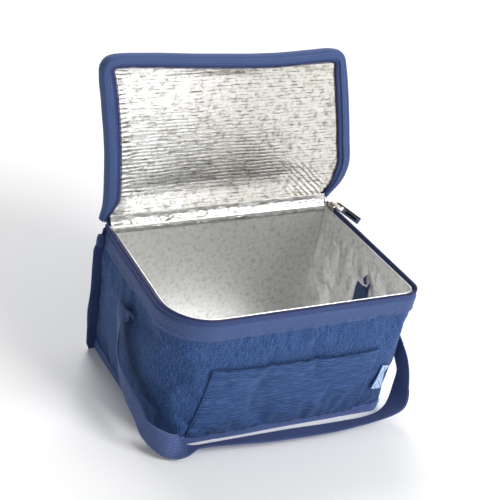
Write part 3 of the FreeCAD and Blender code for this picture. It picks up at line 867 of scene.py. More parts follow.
def sew_pocket():
    surface, s, t = patch(POCKET, 70, 150)
    outwards = normals(surface)
    hem = 0.55 * ease(t, 0.845, 0.86)
    gape = POCKET_GAPE * np.sin(np.pi * s) ** 0.55 * t ** 2.5
    ripple = 0.7 * wander(surface, 30, 81) + 0.3 * wander(surface, 11, 82)
    ripple = ripple * np.sin(np.pi * s) * ease(t, 0, 0.2)
    seam = 0.8 * (np.exp(-(s / 0.02) ** 2) + np.exp(-((1 - s) / 0.02) ** 2))
    lift = 0.7 + gape + ripple
    outer = surface + outwards * (lift + 1.0 + hem - seam * 0.5)[..., None]
    inner = surface + outwards * lift[..., None]
    return closed_sheet("pocket", outer, inner)


pocket = sew_pocket()
finish_piece(pocket, "bag", "melange_fabric", pocket_cloth, "front_pocket")
print("pocket", len(pocket.data.polygons), "faces")

# %% Label ribbon: a pale weave with a darker border and a plain woven zigzag
LABEL = ((91.5, 58), (103, 54), (84.5, 36.5), (95.5, 33))
LABEL_WIDE, LABEL_BORDER, LABEL_ZIGZAG, LABEL_LINE = 12, 4.9, 3.2, 0.45


def label_material():
    material, tree, skin = new_material("woven label ribbon", Roughness=0.6, Sheen_Weight=0.2)
    uv = add(tree, "ShaderNodeUVMap", uv_map="cloth").outputs["UV"]
    parts = add(tree, "ShaderNodeSeparateXYZ", {"Vector": uv})
    off = maths(tree, "ABSOLUTE", maths(tree, "SUBTRACT", parts.outputs["X"], LABEL_WIDE / 2 * MM))
    border = maths(tree, "GREATER_THAN", off, LABEL_BORDER * MM)
    zigzag = maths(tree, "PINGPONG", parts.outputs["Y"], LABEL_ZIGZAG * MM)
    near = maths(tree, "ABSOLUTE", maths(tree, "SUBTRACT", zigzag, off))
    dark = maths(tree, "MAXIMUM", border, maths(tree, "LESS_THAN", near, LABEL_LINE * MM))
    tree.links.new(ramp(tree, dark, (0.0, "#A9C1DE"), (1.0, "#3E64A0")), skin.inputs["Base Color"])
    weave = sine_bands(tree, cloth_coordinates(tree, 0.8, 0.8), "Y")
    set_bump(tree, skin, weave, 0.4, 0.15)
    return material


def sew_label():
    surface, s, t = patch(LABEL, 48, 24)
    outwards = normals(surface)
    curl = 1.2 + 1.6 * (1 - t) ** 2 + 0.35 * np.sin(np.pi * s)
    outer = surface + outwards * (curl + 0.7)[..., None]
    inner = surface + outwards * curl[..., None]
    return closed_sheet("label", outer, inner)


label = sew_label()
finish_piece(label, "bag", "label_ribbon", label_material(), "side_label")
print("label", len(label.data.polygons), "faces")

# %% [markdown]
# ## Rear seams
# Where the wall meets the back panel, both raw edges are wrapped in a folded binding that stands
# out from the bag as a soft fin. It is a flattened fold with a little sway along its length. The
# zipper's ends are caught at the top of these seams in two small tabs.


# %% Fins and zipper ends
def seam_fin(name, side, low_x, high_x, seed):
    rows, columns = 160, 14
    up = np.linspace(0.6, TRIM_TOP + 3, rows)[:, None]
    share = np.linspace(0, 1, columns)[None]
    spots = np.pad(up, ((0, 0), (0, 1)))
    width = 9.3 + 0.9 * wander(spots, 22, seed)[:, None]
    width = width * (0.35 + 0.65 * ease(TRIM_TOP + 3 - up, 0, 22)) * (0.75 + 0.25 * ease(up, 0, 8))
    x = low_x + (high_x - low_x) * up / RIM_Z + side * (0.1 + width * share)
    sway = 1.1 * wander(spots, 17, seed + 1)[:, None] * share
    thick = 0.95 * np.sqrt(np.clip(1 - np.clip((share - 0.7) / 0.3, 0, 1) ** 2, 0.01, 1))
    y = BACK_Y - 0.9 - 1.5 * share + sway
    outer = np.stack([x, y - thick, np.broadcast_to(up, x.shape)], axis=-1)
    inner = np.stack([x, y + thick, np.broadcast_to(up, x.shape)], axis=-1)
    return closed_sheet(name, outer, inner)


left_fin = seam_fin("left_fin", -1, BASE["back"][0] - 0.4, MOUTH["back"][0] - 0.4, 91)
finish_piece(left_fin, "bag", "binding_tape", binding_cloth, "left_seam_binding")
right_fin = seam_fin("right_fin", 1, BASE["back"][1] + 0.4, MOUTH["back"][1] + 0.4, 95)
finish_piece(right_fin, "bag", "binding_tape", binding_cloth, "right_seam_binding")


def soft_knob(name, node, seed):
    """A small folded tab of tape: a rounded block, dented by noise, in its node's box."""
    low, high = (np.array(corner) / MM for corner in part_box(node))
    middle, half = (low + high) / 2, (high - low) / 2
    theta = np.linspace(0, 2 * np.pi, 37)[None, :-1]
    phi = np.linspace(-np.pi / 2, np.pi / 2, 25)[:, None]

    def puffed(angle):
        return np.sign(angle) * np.abs(angle) ** 0.6

    ring = puffed(np.cos(phi))
    ball = np.stack(np.broadcast_arrays(ring * puffed(np.cos(theta)), ring * puffed(np.sin(theta)),
                                        puffed(np.sin(phi))), axis=-1)
    outer = middle + ball * half * (1 + 0.12 * wander(ball * 6 + seed, 4, seed))[..., None]
    inner = middle + ball * half * 0.8
    return merge_points(closed_sheet(name, outer, inner, wrap=True))


left_knob = soft_knob("left_zipper_end", "left_zipper_end_tab", 3)
finish_piece(left_knob, "bag", "binding_tape", binding_cloth, "left_zipper_end_tab")
right_knob = soft_knob("right_zipper_end", "right_zipper_end_tab", 5)
finish_piece(right_knob, "bag", "binding_tape", binding_cloth, "right_zipper_end_tab")
print("fins and zipper ends", left_fin.name, right_fin.name, left_knob.name, right_knob.name)

# %% [markdown]
# ## The lid
# The lid is a shallow tray of the same three layers. Its edge isn't a true rectangle: foam and
# foil pull it in above the hinge, and the right side swings out. So a smooth line through a few
# points gives its edge, and the skin, foam, foil, tape and zipper are all laid out from that line.

# %% The lid's own frame and edge
hinge = next(joint for joint in frame["joints"] if joint["name"] == "lid_hinge")
HINGE_Y, HINGE_Z = hinge["pos_m"][1] / MM, hinge["pos_m"][2] / MM
LID_LEAN = math.radians(5)
LID_BACK = 12.0
LID_EDGE = ((-107, 0), (-104.5, 14), (-104.5, 34), (-106.5, 66), (-111, 101), (-115, 127), (-114.5, 139),
            (-105, 145.5), (-76, 145), (-31, 142), (6, 140), (40, 139), (72, 140), (94, 140.5), (104.5, 136),
            (109, 124), (114, 103), (118.5, 80), (122.5, 57), (126, 34), (121, 16), (109, 0))
EDGE_COUNT = 460


def lid_place(x, out, deep):
    """World points from places across the lid, out from the hinge, and deep towards its back."""
    x, out, deep = np.broadcast_arrays(x, out, deep)
    return np.stack([x, HINGE_Y + out * math.sin(LID_LEAN) + deep * math.cos(LID_LEAN),
                     HINGE_Z + out * math.cos(LID_LEAN) - deep * math.sin(LID_LEAN)], axis=-1)


lid_edge = smooth_line(LID_EDGE, EDGE_COUNT)
edge_run = lengths(lid_edge)
edge_along = unit(np.gradient(lid_edge, axis=0))
edge_inwards = np.stack([edge_along[:, 1], -edge_along[:, 0]], axis=-1)
near_hinge = 1 - ease(lid_edge[:, 1], 2, 22)
taper = (1 - 0.55 * near_hinge) * (0.7 - 0.12 * ease(lid_edge[:, 1], 118, 136))
print("lid edge", round(edge_run[-1]), "mm long, lid reaches", np.round(lid_edge.max(0)))


# %% Bands that follow the lid's edge
def raised(deep):
    """Depths along the edge, lifted towards the lid's back where they near the hinge."""
    return deep + 3.2 * near_hinge * (1 - deep / LID_BACK)


def lid_band(name, profile, rows, thick, seed, wave):
    """A band whose profile is points of inset and depth; it is pinched and raised at the hinge."""
    section = smooth_line(profile, rows)
    inset = section[:, :1] * taper
    spots = np.stack(np.broadcast_arrays(edge_run, inset), axis=-1)
    deep = raised(section[:, 1:]) + wave * wander(spots, 16, seed)
    across = lid_edge + edge_inwards * inset[..., None]
    outer = lid_place(across[..., 0], across[..., 1], deep)
    facing = normals(outer)
    return closed_sheet(name, outer, outer + facing * thick)


TRIM_PROFILE = ((2.4, 12.3), (-0.4, 11.6), (-2.2, 8.6), (-1.9, 5.0), (0.6, 2.6), (5.0, 1.7), (9.0, 1.8),
                (10.6, 2.4))
TAPE_PROFILE = ((8.4, 3.2), (11.0, 2.7), (13.6, 2.8), (15.2, 3.4))
lid_rim = lid_band("lid_band", TRIM_PROFILE, 34, 0.9, seed=101, wave=0.3)
finish_piece(lid_rim, "lid", "trim_tape", trim_cloth, "lid_trim")
lid_tape = lid_band("lid_tape", TAPE_PROFILE, 12, 0.6, seed=103, wave=0.15)
finish_piece(lid_tape, "lid", "zipper_tape", tape_cloth, "lid_zipper_tape")
print("lid bands", len(lid_rim.data.polygons), len(lid_tape.data.polygons), "faces")


# %% Lid skin and foam
def lid_disc(inset, deep, rings, columns, crown=0.0, seed=None):
    """Rings from the lid's edge towards its middle, at a depth, slightly crowned."""
    line = lid_edge + edge_inwards * (inset * (1 - 0.5 * near_hinge))[:, None]
    line[:, 1] = np.maximum(line[:, 1], 1.5)
    hinge_side = np.linspace(line[-1], line[0], 60)[1:-1]
    ring = even(np.concatenate([line, hinge_side, line[:1]]), columns + 1)[:-1]
    middle = np.array([ring[:, 0].mean(), 72.0])
    share = np.linspace(0, 1, rings)[:, None]
    flat = middle + (ring - middle)[None] * share[..., None]
    depth = deep + crown * (1 - share ** 2) * np.ones((1, columns))
    if seed is not None:
        depth = depth + 0.8 * wander(flat, 45, seed) * (1 - share ** 6)
    return lid_place(flat[..., 0], flat[..., 1], depth), flat


def lid_layer(name, inset, low, high, rings, columns, crown, seed):
    back, flat = lid_disc(inset, high, rings, columns, crown, seed)
    front, _ = lid_disc(inset, low, rings, columns, crown, seed)
    return merge_points(closed_sheet(name, back, front, wrap=True, uv=flat))


lid_skin = lid_layer("lid_skin", 0.6, LID_BACK - FABRIC, LID_BACK, 60, 420, 0.8, 111)
finish_piece(lid_skin, "lid", "melange_fabric", skin_cloth, "lid_panel")
lid_padding = lid_layer("lid_padding", 2.5, LID_BACK - FABRIC - FOAM, LID_BACK - FABRIC, 24, 200, 0.8, 111)
finish_piece(lid_padding, "lid", "foam", foam_sheet, "lid_foam")
print("lid skin", len(lid_skin.data.polygons), "faces")


# %% Lid foil
def lid_corner(side):
    """The index of the edge's point nearest to the top corner on one side."""
    return int(np.argmax(side * lid_edge[:, 0] * 0.7 + lid_edge[:, 1] * 1.2))


def lid_foil_grid(rows, columns, inset):
    """A patch stretched between the four sides of the lid's opening."""
    inner = lid_edge + edge_inwards * (inset * taper)[:, None]
    left_top, right_top = lid_corner(-1), lid_corner(1)
    left = even(inner[:left_top + 1], rows)
    top = even(inner[left_top:right_top + 1], columns)
    right = even(inner[right_top:][::-1], rows)
    low = np.linspace(left[0], right[0], columns)
    s, t = np.linspace(0, 1, columns)[None, :, None], np.linspace(0, 1, rows)[:, None, None]
    flat = ((1 - s) * left[:, None] + s * right[:, None] + (1 - t) * low[None] + t * top[None]
            - ((1 - s) * (1 - t) * low[0] + s * (1 - t) * low[-1] + (1 - s) * t * top[0] + s * t * top[-1]))
    return flat, s[..., 0], t[..., 0]


LID_RIB, LID_BAR, FOIL_PULL = 3.1, 4.2, 5.5
FOIL_INSET, FOIL_WIDE, FOIL_HIGH = 13.6, 195, 128


def line_lid():
    flat, s, t = lid_foil_grid(250, 240, FOIL_INSET)
    side = np.minimum(np.minimum(s, 1 - s) * FOIL_WIDE, (1 - t) * FOIL_HIGH)
    low = 1 - ease(flat[..., 1], 2, 22)
    middle = 5.6 + 0.6 * wander(flat, 70, 121) + 0.5 * wander(flat, 33, 122)
    middle = middle * ease(flat[..., 1], -6, 30) - 0.6 * low
    edge = 4.5 + 2.1 * low
    deep = edge + (middle - edge) * ease(side, 0.5, 11)
    surface = lid_place(flat[..., 0], flat[..., 1], deep)
    facing = normals(surface)
    rough = 0.12 + 0.9 * (1 - ease(side, 2, 13)) + 0.3 * ease(wander(flat, 38, 125), 0.1, 0.8)
    ribbed = ease(flat[..., 1], 18, 26)
    wave = flat[..., 1] / LID_RIB + 0.35 * wander(flat, 34, 127) + 0.12 * wander(flat, 8, 128)
    pillow = np.abs(np.sin(np.pi * wave)) ** 0.35 * (0.7 + 0.3 * wander(flat / [2.5, 1], 8, 129))
    lift = 0.22 * pillow * ribbed + 0.26 * rough * ribbed * crumple(flat, 7, 130)
    bars = 0.2 * np.sin(2 * np.pi * (flat[..., 1] / LID_BAR + 0.2 * wander(flat, 9, 133)))
    bars = bars * np.exp(-((s * FOIL_WIDE - 6) / 4) ** 2)
    lift += bars * ribbed
    pulled = np.exp(-((flat[..., 0] - 98) / 26) ** 2 - ((flat[..., 1] - 12) / 22) ** 2)
    slanting = (flat[..., 0] + flat[..., 1]) * 2 * np.pi / FOIL_PULL + 2 * wander(flat, 14, 131)
    lift += 0.35 * pulled * np.sin(slanting)
    lift *= ease(side, 0, 3)
    return closed_sheet("lid_foil", surface + facing * lift[..., None], surface - facing * FOIL, uv=flat)


lid_foil = line_lid()
finish_piece(lid_foil, "lid", "foil", lid_film, "lid_lining")
print("lid foil", len(lid_foil.data.polygons), "faces")

# %% [markdown]
# ## The hinge
# At the back the foil and the cloth run on from the bag into the lid, and bunch up where they
# fold. Each strip crosses the joint: its lower edge lies on the bag and its upper edge on the lid,
# as the lid stands open here.


# %% Strips across the hinge
def hinge_strip(name, section, half_low, half_high, rows, columns, thick, bunch, seed):
    """A strip whose section is points of y and z, bunched into folds across the hinge."""
    line = smooth_line(section, rows)
    share = np.linspace(0, 1, rows)[:, None]
    across = np.linspace(-1, 1, columns)[None]
    x = across * (half_low + (half_high - half_low) * share) + 1.0
    grid = np.stack(np.broadcast_arrays(x, line[:, :1], line[:, 1:]), axis=-1)
    facing = normals(grid)
    along = np.stack(np.broadcast_arrays(x / 3.2, line[:, 1:]), axis=-1)
    folds = wander(along, 2.6, seed) + 0.6 * wander(along / [0.5, 1], 1.7, seed + 1)
    folds = bunch * np.sin(np.pi * share) * folds
    surface = grid + facing * folds[..., None]
    return closed_sheet(name, surface, surface - facing * thick)


FOIL_SECTION = ((67.2, 119.5), (67.8, 123.5), (70.2, 126.6), (72.0, 129.5), (73.2, 134.0))
CLOTH_SECTION = ((72.3, 119.0), (73.0, 124.0), (77.0, 128.0), (82.5, 129.0), (85.4, 133.0))
hinge_foil = hinge_strip("hinge_foil", FOIL_SECTION, 101.5, 102.5, 40, 420, 0.5, 0.45, 141)
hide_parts("hinge_fold")
hinge_cloth = hinge_strip("hinge_cloth", CLOTH_SECTION, 104.0, 105.5, 40, 300, -0.9, 0.8, 145)
for strip, slot, material in ((hinge_foil, "foil", shaded_hinge_film), (hinge_cloth, "melange_fabric", skin_cloth)):
    strip.data.materials.append(material)
    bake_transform(strip)
print("hinge", hinge_foil.name, hinge_cloth.name)

# %% [markdown]
# ## Carrying handle
# One length of ribbed webbing is sewn to the two sides. Thrown forward it stands up from each
# sewn end, falls to the floor and lies round the front of the bag, leaning a little on its edge.
# The route is a smooth line through chosen middles, each with the direction across the webbing.
# The ribs are real relief, one every 1.8 mm.

# %% The webbing's route, millimetres
HANDLE_ROUTE = (
    ((-108.8, -4, 88.5), (0, -1, 0)),
    ((-112.4, -3.7, 91.8), (0.4, -1, 0)),
    ((-116, -2.5, 84), (-0.15, -1, 0)),
    ((-117.5, -7.5, 67), (-0.4, -0.9, 0.1)),
    ((-118.2, -13, 53), (-0.35, -0.8, 0.4)),
    ((-118.2, -24, 41.5), (-0.15, -0.6, 0.8)),
    ((-117.3, -39, 34), (0, -0.4, 0.93)),
    ((-115.5, -55, 28.5), (0.05, -0.3, 0.95)),
    ((-113.5, -72, 21.5), (0.1, -0.25, 0.93)),
    ((-101.5, -85, 15), (0.35, 0.05, 0.75)),
    ((-88, -86.5, 10), (0.45, 0.45, 0.15)),
    ((-75, -86.5, 7.2), (0.43, 0.74, -0.5)),
    ((-57, -87.5, 7.2), (0.4, 0.75, -0.5)),
    ((-33, -88.5, 6.6), (0.2, 0.85, -0.42)),
    ((-9, -89.5, 6), (0.05, 1, -0.35)),
    ((18, -90.5, 6), (0, 1, -0.3)),
    ((46, -91.5, 6), (0, 1, -0.33)),
    ((66, -91.5, 6.4), (0, 1, -0.4)),
    ((86, -91, 7), (-0.1, 1, -0.5)),
    ((103, -89.5, 9.5), (-0.3, 1, -0.5)),
    ((114.5, -86, 15.5), (-0.4, 1, -0.3)),
    ((119.8, -80, 27), (-0.15, 1, 0)),
    ((120.4, -76.8, 41), (0, 1, 0.1)),
    ((120.8, -67, 52), (0, 0.9, 0.4)),
    ((120.6, -48, 63), (0, 0.7, 0.7)),
    ((119.5, -22, 82), (0, 0.6, 0.8)),
    ((116.9, -5.2, 93.5), (0, 1, 0.2)),
    ((114.6, -4, 89.5), (0, 1, 0)),
)
STRAP_WIDTH, STRAP_THICK, STRAP_RIB = 20.0, 1.6, 1.8


def webbing(name, middles, across, step=0.5):
    """A ribbed strap along a smooth line, with rounded selvedges."""
    middles, across = np.asarray(middles, float), np.asarray(across, float)
    places = np.linspace(0, len(middles) - 1, 16 * len(middles))
    run = refine(np.concatenate([middles, across], axis=1), places)
    travelled = lengths(run[:, :3])
    count = round(travelled[-1] / step)
    where = np.linspace(0, travelled[-1], count)
    run = np.stack([np.interp(where, travelled, run[:, k]) for k in range(6)], axis=1)
    ahead = unit(np.gradient(run[:, :3], axis=0))
    side = unit(run[:, 3:] - ahead * (run[:, 3:] * ahead).sum(-1, keepdims=True))
    face = np.cross(ahead, side)
    share = np.linspace(-1, 1, 15)
    edge = np.sqrt(np.clip(1 - np.abs(share) ** 8, 0.02, 1))
    rib = 0.16 * np.cos(2 * np.pi * where / STRAP_RIB)[None] * (1 - np.abs(share) ** 6)[:, None]
    half = STRAP_THICK / 2 * edge[:, None] + rib
    cup = 0.5 * wander(where[:, None], 40, 151)[None] * (1 - share ** 2)[:, None]
    line = run[None, :, :3] + side[None] * (share * STRAP_WIDTH / 2)[:, None, None]
    line = line + face[None] * cup[..., None]
    uv = np.stack(np.meshgrid(where, (share + 1) * STRAP_WIDTH / 2), axis=-1)
    thick = face[None] * half[..., None]
    return closed_sheet(name, line + thick, line - thick, uv=uv), travelled[-1]


handle, handle_long = webbing("handle_webbing", *zip(*HANDLE_ROUTE))
finish_piece(handle, "handle", "webbing", strap_cloth, "carry_handle")
print("handle", round(handle_long), "mm long,", len(handle.data.polygons), "faces")

# %% Sewn ends of the webbing
STRAP_LOW, STRAP_HIGH = (corner.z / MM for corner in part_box("left_strap_end"))
STRAP_Y = sum(corner.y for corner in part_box("left_strap_end")) / 2 / MM


def sewn_end(name, side, node):
    """The last stretch of webbing, flat against the wall, bowed out at its top fold."""
    low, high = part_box(node)
    x = (low.x + high.x) / 2 / MM
    middles = ((x - side * 0.2, STRAP_Y, STRAP_LOW), (x, STRAP_Y, (STRAP_LOW + STRAP_HIGH) / 2),
               (x + side * 0.3, STRAP_Y, STRAP_HIGH), (x + side * 1.0, STRAP_Y, STRAP_HIGH + 3.5))
    strap, _ = webbing(name, middles, [(0, 1, 0)] * 4)
    return finish_piece(strap, "bag", "webbing", strap_cloth, node)


left_end = sewn_end("left_webbing_end", -1, "left_strap_end")
right_end = sewn_end("right_webbing_end", 1, "right_strap_end")
print("sewn ends", left_end.name, right_end.name)

# %% [markdown]
# ## What repeats: zipper coils and stitches
# A coil zipper is a nylon spiral sewn to its tape, and a seam is a row of short thread loops. Both
# are one small shape repeated along a line, so Geometry Nodes set it out: a line of points becomes
# a curve, the curve is divided at the real pitch, and the shape is copied to each point and turned
# along the curve. The sizes are named inputs of the tree.


# %% A tree that repeats a shape along lines
def along_tree(name, build_shape):
    """Pitch, Long, Thick and Material are inputs; build_shape makes the repeated shape's nodes."""
    tree = bpy.data.node_groups.new(name, "GeometryNodeTree")
    face = tree.interface
    face.new_socket("Lines", in_out="INPUT", socket_type="NodeSocketGeometry")
    for label in ("Pitch", "Long", "Thick"):
        face.new_socket(label, in_out="INPUT", socket_type="NodeSocketFloat")
    face.new_socket("Material", in_out="INPUT", socket_type="NodeSocketMaterial")
    face.new_socket("Geometry", in_out="OUTPUT", socket_type="NodeSocketGeometry")
    start = add(tree, "NodeGroupInput")
    curve = add(tree, "GeometryNodeMeshToCurve", {"Mesh": start.outputs["Lines"]})
    spaced = add(tree, "GeometryNodeResampleCurve", {"Curve": curve.outputs["Curve"],
                                                     "Length": start.outputs["Pitch"]}, mode="LENGTH")
    turn = add(tree, "FunctionNodeAlignRotationToVector", {
        "Vector": add(tree, "GeometryNodeInputTangent").outputs["Tangent"]}, axis="Z")
    copies = add(tree, "GeometryNodeInstanceOnPoints", {
        "Points": spaced.outputs["Curve"], "Instance": build_shape(tree, start),
        "Rotation": turn.outputs["Rotation"]})
    real = add(tree, "GeometryNodeRealizeInstances", {"Geometry": copies.outputs["Instances"]})
    painted = add(tree, "GeometryNodeSetMaterial", {"Geometry": real.outputs["Geometry"],
                                                    "Material": start.outputs["Material"]})
    add(tree, "NodeGroupOutput", {"Geometry": painted.outputs["Geometry"]})
    return tree


def stitch_shape(tree, start):
    """A bead of thread, as long and thick as the inputs say."""
    bead = add(tree, "GeometryNodeMeshUVSphere", {"Segments": 6, "Rings": 5, "Radius": 1.0})
    size = add(tree, "ShaderNodeCombineXYZ", {"X": start.outputs["Thick"], "Y": start.outputs["Thick"],
                                              "Z": start.outputs["Long"]})
    return add(tree, "GeometryNodeTransform", {"Geometry": bead.outputs["Mesh"],
                                               "Scale": size.outputs["Vector"]}).outputs["Geometry"]


def coil_shape(tree, start):
    """One turn of the coil: a ring of round wire, tipped as a spiral's turn is."""
    ring = add(tree, "GeometryNodeCurvePrimitiveCircle", {"Resolution": 10, "Radius": start.outputs["Long"]})
    wire = add(tree, "GeometryNodeCurvePrimitiveCircle", {"Resolution": 5, "Radius": start.outputs["Thick"]})
    turned = add(tree, "GeometryNodeCurveToMesh", {"Curve": ring.outputs["Curve"],
                                                   "Profile Curve": wire.outputs["Curve"]})
    return add(tree, "GeometryNodeTransform", {"Geometry": turned.outputs["Mesh"],
                                               "Rotation": (math.radians(20), 0, 0)}).outputs["Geometry"]


stitch_tree = along_tree("stitches along lines", stitch_shape)
coil_tree = along_tree("coil along lines", coil_shape)
print("trees", stitch_tree.name, "|", coil_tree.name)


# %% Turn lines into a repeated piece
def repeat_along(name, tree, lines, material, pitch, long, thick):
    """Runs a tree on lines of points in millimetres and keeps the result as a plain mesh."""
    points, edges = [], []
    for line in lines:
        edges += [(len(points) + k, len(points) + k + 1) for k in range(len(line) - 1)]
        points += (np.asarray(line) * MM).tolist()
    mesh = bpy.data.meshes.new(name + "_lines")
    mesh.from_pydata(points, edges, [])
    guide = place(name + "_lines", mesh)
    nodes = guide.modifiers.new("Along", "NODES")
    nodes.node_group = tree
    sizes = {"Pitch": pitch * MM, "Long": long * MM, "Thick": thick * MM, "Material": material}
    for socket in tree.interface.items_tree:
        if socket.in_out == "INPUT" and socket.name in sizes:
            nodes[socket.identifier] = sizes[socket.name]
    result = bpy.data.meshes.new_from_object(guide.evaluated_get(bpy.context.evaluated_depsgraph_get()))
    result.name = name
    bpy.data.objects.remove(guide)
    result.polygons.foreach_set("use_smooth", [True] * len(result.polygons))
    return place(name, result)


COIL_PITCH, COIL_RADIUS, COIL_WIRE = 1.4, 0.85, 0.38
print("coil pitch", COIL_PITCH, "mm")

# %% Zipper coils
mouth_coil_line = wall_piece(RIM_Z - 0.9, RIM_Z - 0.8, 2, 500, 0.45, 0, TURN_END)[0]
mouth_coil = repeat_along("mouth_coil", coil_tree, [mouth_coil_line], coil_nylon,
                          COIL_PITCH, COIL_RADIUS, COIL_WIRE)
finish_piece(mouth_coil, "bag", "zipper_coil", coil_nylon, "mouth_zipper_coil")


def lid_line(inset, deep):
    """A line that follows the lid's edge at an inset and a depth, pinched as the bands are."""
    across = lid_edge + edge_inwards * (inset * taper)[:, None]
    return lid_place(across[:, 0], across[:, 1], raised(deep))


lid_coil = repeat_along("lid_coil", coil_tree, [lid_line(15.8, 3.0)], coil_nylon,
                        COIL_PITCH, COIL_RADIUS, COIL_WIRE)
finish_piece(lid_coil, "lid", "zipper_coil", coil_nylon, "lid_zipper_coil")
print("coils", len(mouth_coil.data.polygons), "and", len(lid_coil.data.polygons), "faces")


# %% Stitches
def wall_line(height, lift):
    """A level line on the wall, lifted off it."""
    return wall_piece(height, height + 0.1, 2, 400, -lift)[0]


def patch_line(corners, s, t, lift):
    """A line on a patch of the front wall, between places given by shares across and up."""
    surface, _, _ = patch(corners, 30, 60)
    spot = sample(surface, np.asarray(t) * 29, np.asarray(s) * 59)
    outwards = sample(normals(surface), np.asarray(t) * 29, np.asarray(s) * 59)
    return spot + outwards * np.asarray(lift)[..., None]


def pocket_lines():
    run = np.linspace(0, 1, 60)
    hem_lift = 2.25 + POCKET_GAPE * np.sin(np.pi * run) ** 0.55 * 0.86 ** 2.5
    sides = np.linspace(0.04, 0.98, 40)
    return [patch_line(POCKET, 0.008 + 0.984 * run, np.full(60, 0.865), hem_lift),
            patch_line(POCKET, np.full(40, 0.018), sides, np.full(40, 1.9)),
            patch_line(POCKET, np.full(40, 0.982), sides, np.full(40, 1.9))]


def box_stitch(side, node):
    """A square with a cross, on the face of a sewn webbing end."""
    low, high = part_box(node)
    x = (high.x if side > 0 else low.x) / MM + side * 0.25
    y0, y1, z0, z1 = STRAP_Y - 7.5, STRAP_Y + 7.5, STRAP_LOW + 2.5, STRAP_LOW + 17.5
    return [np.linspace((x, ya, za), (x, yb, zb), 12) for (ya, za), (yb, zb) in (
        ((y0, z0), (y1, z0)), ((y1, z0), (y1, z1)), ((y1, z1), (y0, z1)), ((y0, z1), (y0, z0)),
        ((y0, z0), (y1, z1)), ((y0, z1), (y1, z0)))]


STITCH_PITCH, STITCH_HALF, STITCH_THICK = 3.0, 1.15, 0.32
bag_lines = [wall_line(TRIM_LOW + 1.0, 1.25), wall_line(TRIM_TOP - 1.4, 1.3), wall_line(7.2, 1.5),
             *pocket_lines(), *box_stitch(-1, "left_strap_end"), *box_stitch(1, "right_strap_end")]
bag_stitches = repeat_along("bag_stitches", stitch_tree, bag_lines, thread,
                            STITCH_PITCH, STITCH_HALF, STITCH_THICK)
finish_piece(bag_stitches, "bag", "trim_tape", thread)
lid_stitches = repeat_along("lid_stitches", stitch_tree, [lid_line(9.2, 1.55), lid_line(2.0, 1.6)], thread,
                            STITCH_PITCH, STITCH_HALF, STITCH_THICK)
finish_piece(lid_stitches, "lid", "trim_tape", thread)
print("stitches", len(bag_stitches.data.polygons), "and", len(lid_stitches.data.polygons), "faces")

# %% [markdown]
# ## Slider and puller
# The slider is a small casting: two plates either side of the coil, joined over it, with a bridge
# that the puller hangs from. The puller is a stamped plate with raised rails and an open eye. Each
# bar is a bevelled block, drawn in the slider's own frame and turned to the zipper's line.

# %% The slider's frame
travel = next(joint for joint in frame["joints"] if joint["name"] == "slider_travel")
swing = next(joint for joint in frame["joints"] if joint["name"] == "puller_swing")
RIM_TURN = math.atan2(travel["axis"][0], -travel["axis"][1])
PULLER_TURN, PULLER_DROOP = math.radians(52), math.radians(20)
slider_middle = sum(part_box("slider_body"), Vector()) / 2
slider_middle.z = swing["pos_m"][2]
slider_frame = Matrix.Translation(slider_middle) @ Matrix.Rotation(RIM_TURN, 4, "Z")
puller_frame = (Matrix.Translation(Vector(swing["pos_m"])) @ Matrix.Rotation(RIM_TURN - PULLER_TURN, 4, "Z")
                @ Matrix.Rotation(PULLER_DROOP, 4, "Y"))
print("slider at", [round(value / MM, 1) for value in slider_middle])


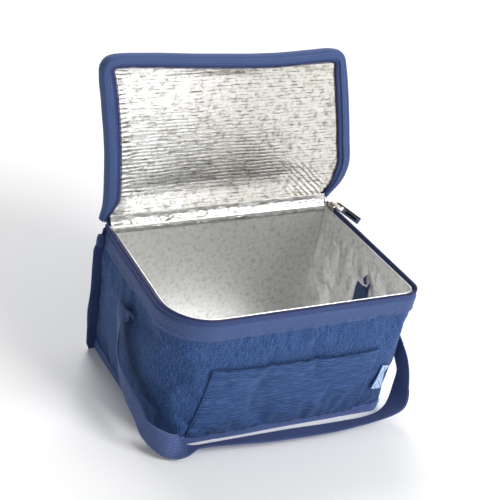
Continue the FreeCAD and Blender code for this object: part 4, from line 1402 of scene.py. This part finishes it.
# %% Bevelled bars joined into one casting
def casting(name, bars, turned):
    """Bars are finish, low corner, high corner and edge radius, in millimetres."""
    work = bmesh.new()
    finishes = []
    for finish, low, high, edge in bars:
        low, high = Vector(low), Vector(high)
        before = set(work.faces)
        cube = bmesh.ops.create_cube(work, size=1.0)
        scale = Matrix.Diagonal((*(high - low), 1))
        bmesh.ops.transform(work, verts=cube["verts"], matrix=Matrix.Translation((low + high) / 2) @ scale)
        edges = list({e for v in cube["verts"] for e in v.link_edges})
        bmesh.ops.bevel(work, geom=edges, offset=edge, segments=3, profile=0.5, affect="EDGES")
        if finish not in finishes:
            finishes.append(finish)
        for face in set(work.faces) - before:
            face.material_index = finishes.index(finish)
            face.smooth = True
    bmesh.ops.transform(work, verts=work.verts, matrix=turned @ Matrix.Scale(MM, 4))
    mesh = bpy.data.meshes.new(name)
    work.to_mesh(mesh)
    work.free()
    return place(name, mesh), finishes


def finish_casting(piece, finishes, body, *stands_for):
    for finish in finishes:
        piece.data.materials.append(finish)
    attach(piece, body)
    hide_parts(*stands_for)


SLIDER_BARS = [
    (nickel, (-2.6, -5.0, -4.4), (-1.4, 5.0, 1.6), 0.5),
    (nickel, (1.4, -5.0, -4.4), (2.6, 5.0, 1.6), 0.5),
    (nickel, (-2.6, -4.6, 0.6), (2.6, 4.6, 1.9), 0.5),
    # thin darker plate on the slider's side: painted shade
    (shaded_nickel, (2.3, -3.2, -3.4), (2.75, 3.2, -0.9), 0.15),
]
slider_piece = casting("zipper_slider", SLIDER_BARS, slider_frame)
finish_casting(*slider_piece, "slider", "slider_body")
BRIDGE_BARS = [
    (nickel, (2.6, -4.0, -0.6), (7.2, -3.0, 0.6), 0.3),
    (nickel, (2.6, 3.0, -0.6), (7.2, 4.0, 0.6), 0.3),
    (nickel, (6.9, -4.0, -0.6), (7.9, 4.0, 0.6), 0.3),
]
bridge_piece = casting("zipper_bridge", BRIDGE_BARS, slider_frame)
finish_casting(*bridge_piece, "slider", "slider_bridge")
PULLER_BARS = [
    # the puller's two rails in the darker plating: painted shade
    (shaded_nickel, (-0.5, -0.65, -3.4), (24.5, 0.65, -2.4), 0.35),
    (shaded_nickel, (-0.5, -0.65, 2.4), (24.5, 0.65, 3.4), 0.35),
    (nickel, (-0.5, -0.6, -3.2), (0.5, 0.6, 3.2), 0.35),
    (nickel, (6.5, -0.45, -2.6), (24.2, 0.45, 2.6), 0.2),
    (nickel, (6.3, -0.7, -3.2), (8.0, 0.7, 3.2), 0.35),
    (nickel, (22.8, -0.7, -3.3), (24.6, 0.7, 3.3), 0.45),
    # the puller's middle panel in the darker plating: painted shade
    (shaded_nickel, (9.6, -0.55, -1.3), (21.4, 0.55, 1.3), 0.25),
]
puller_piece = casting("zipper_puller", PULLER_BARS, puller_frame)
finish_casting(*puller_piece, "puller", "puller")
print("castings", [piece[0].name for piece in (slider_piece, bridge_piece, puller_piece)])
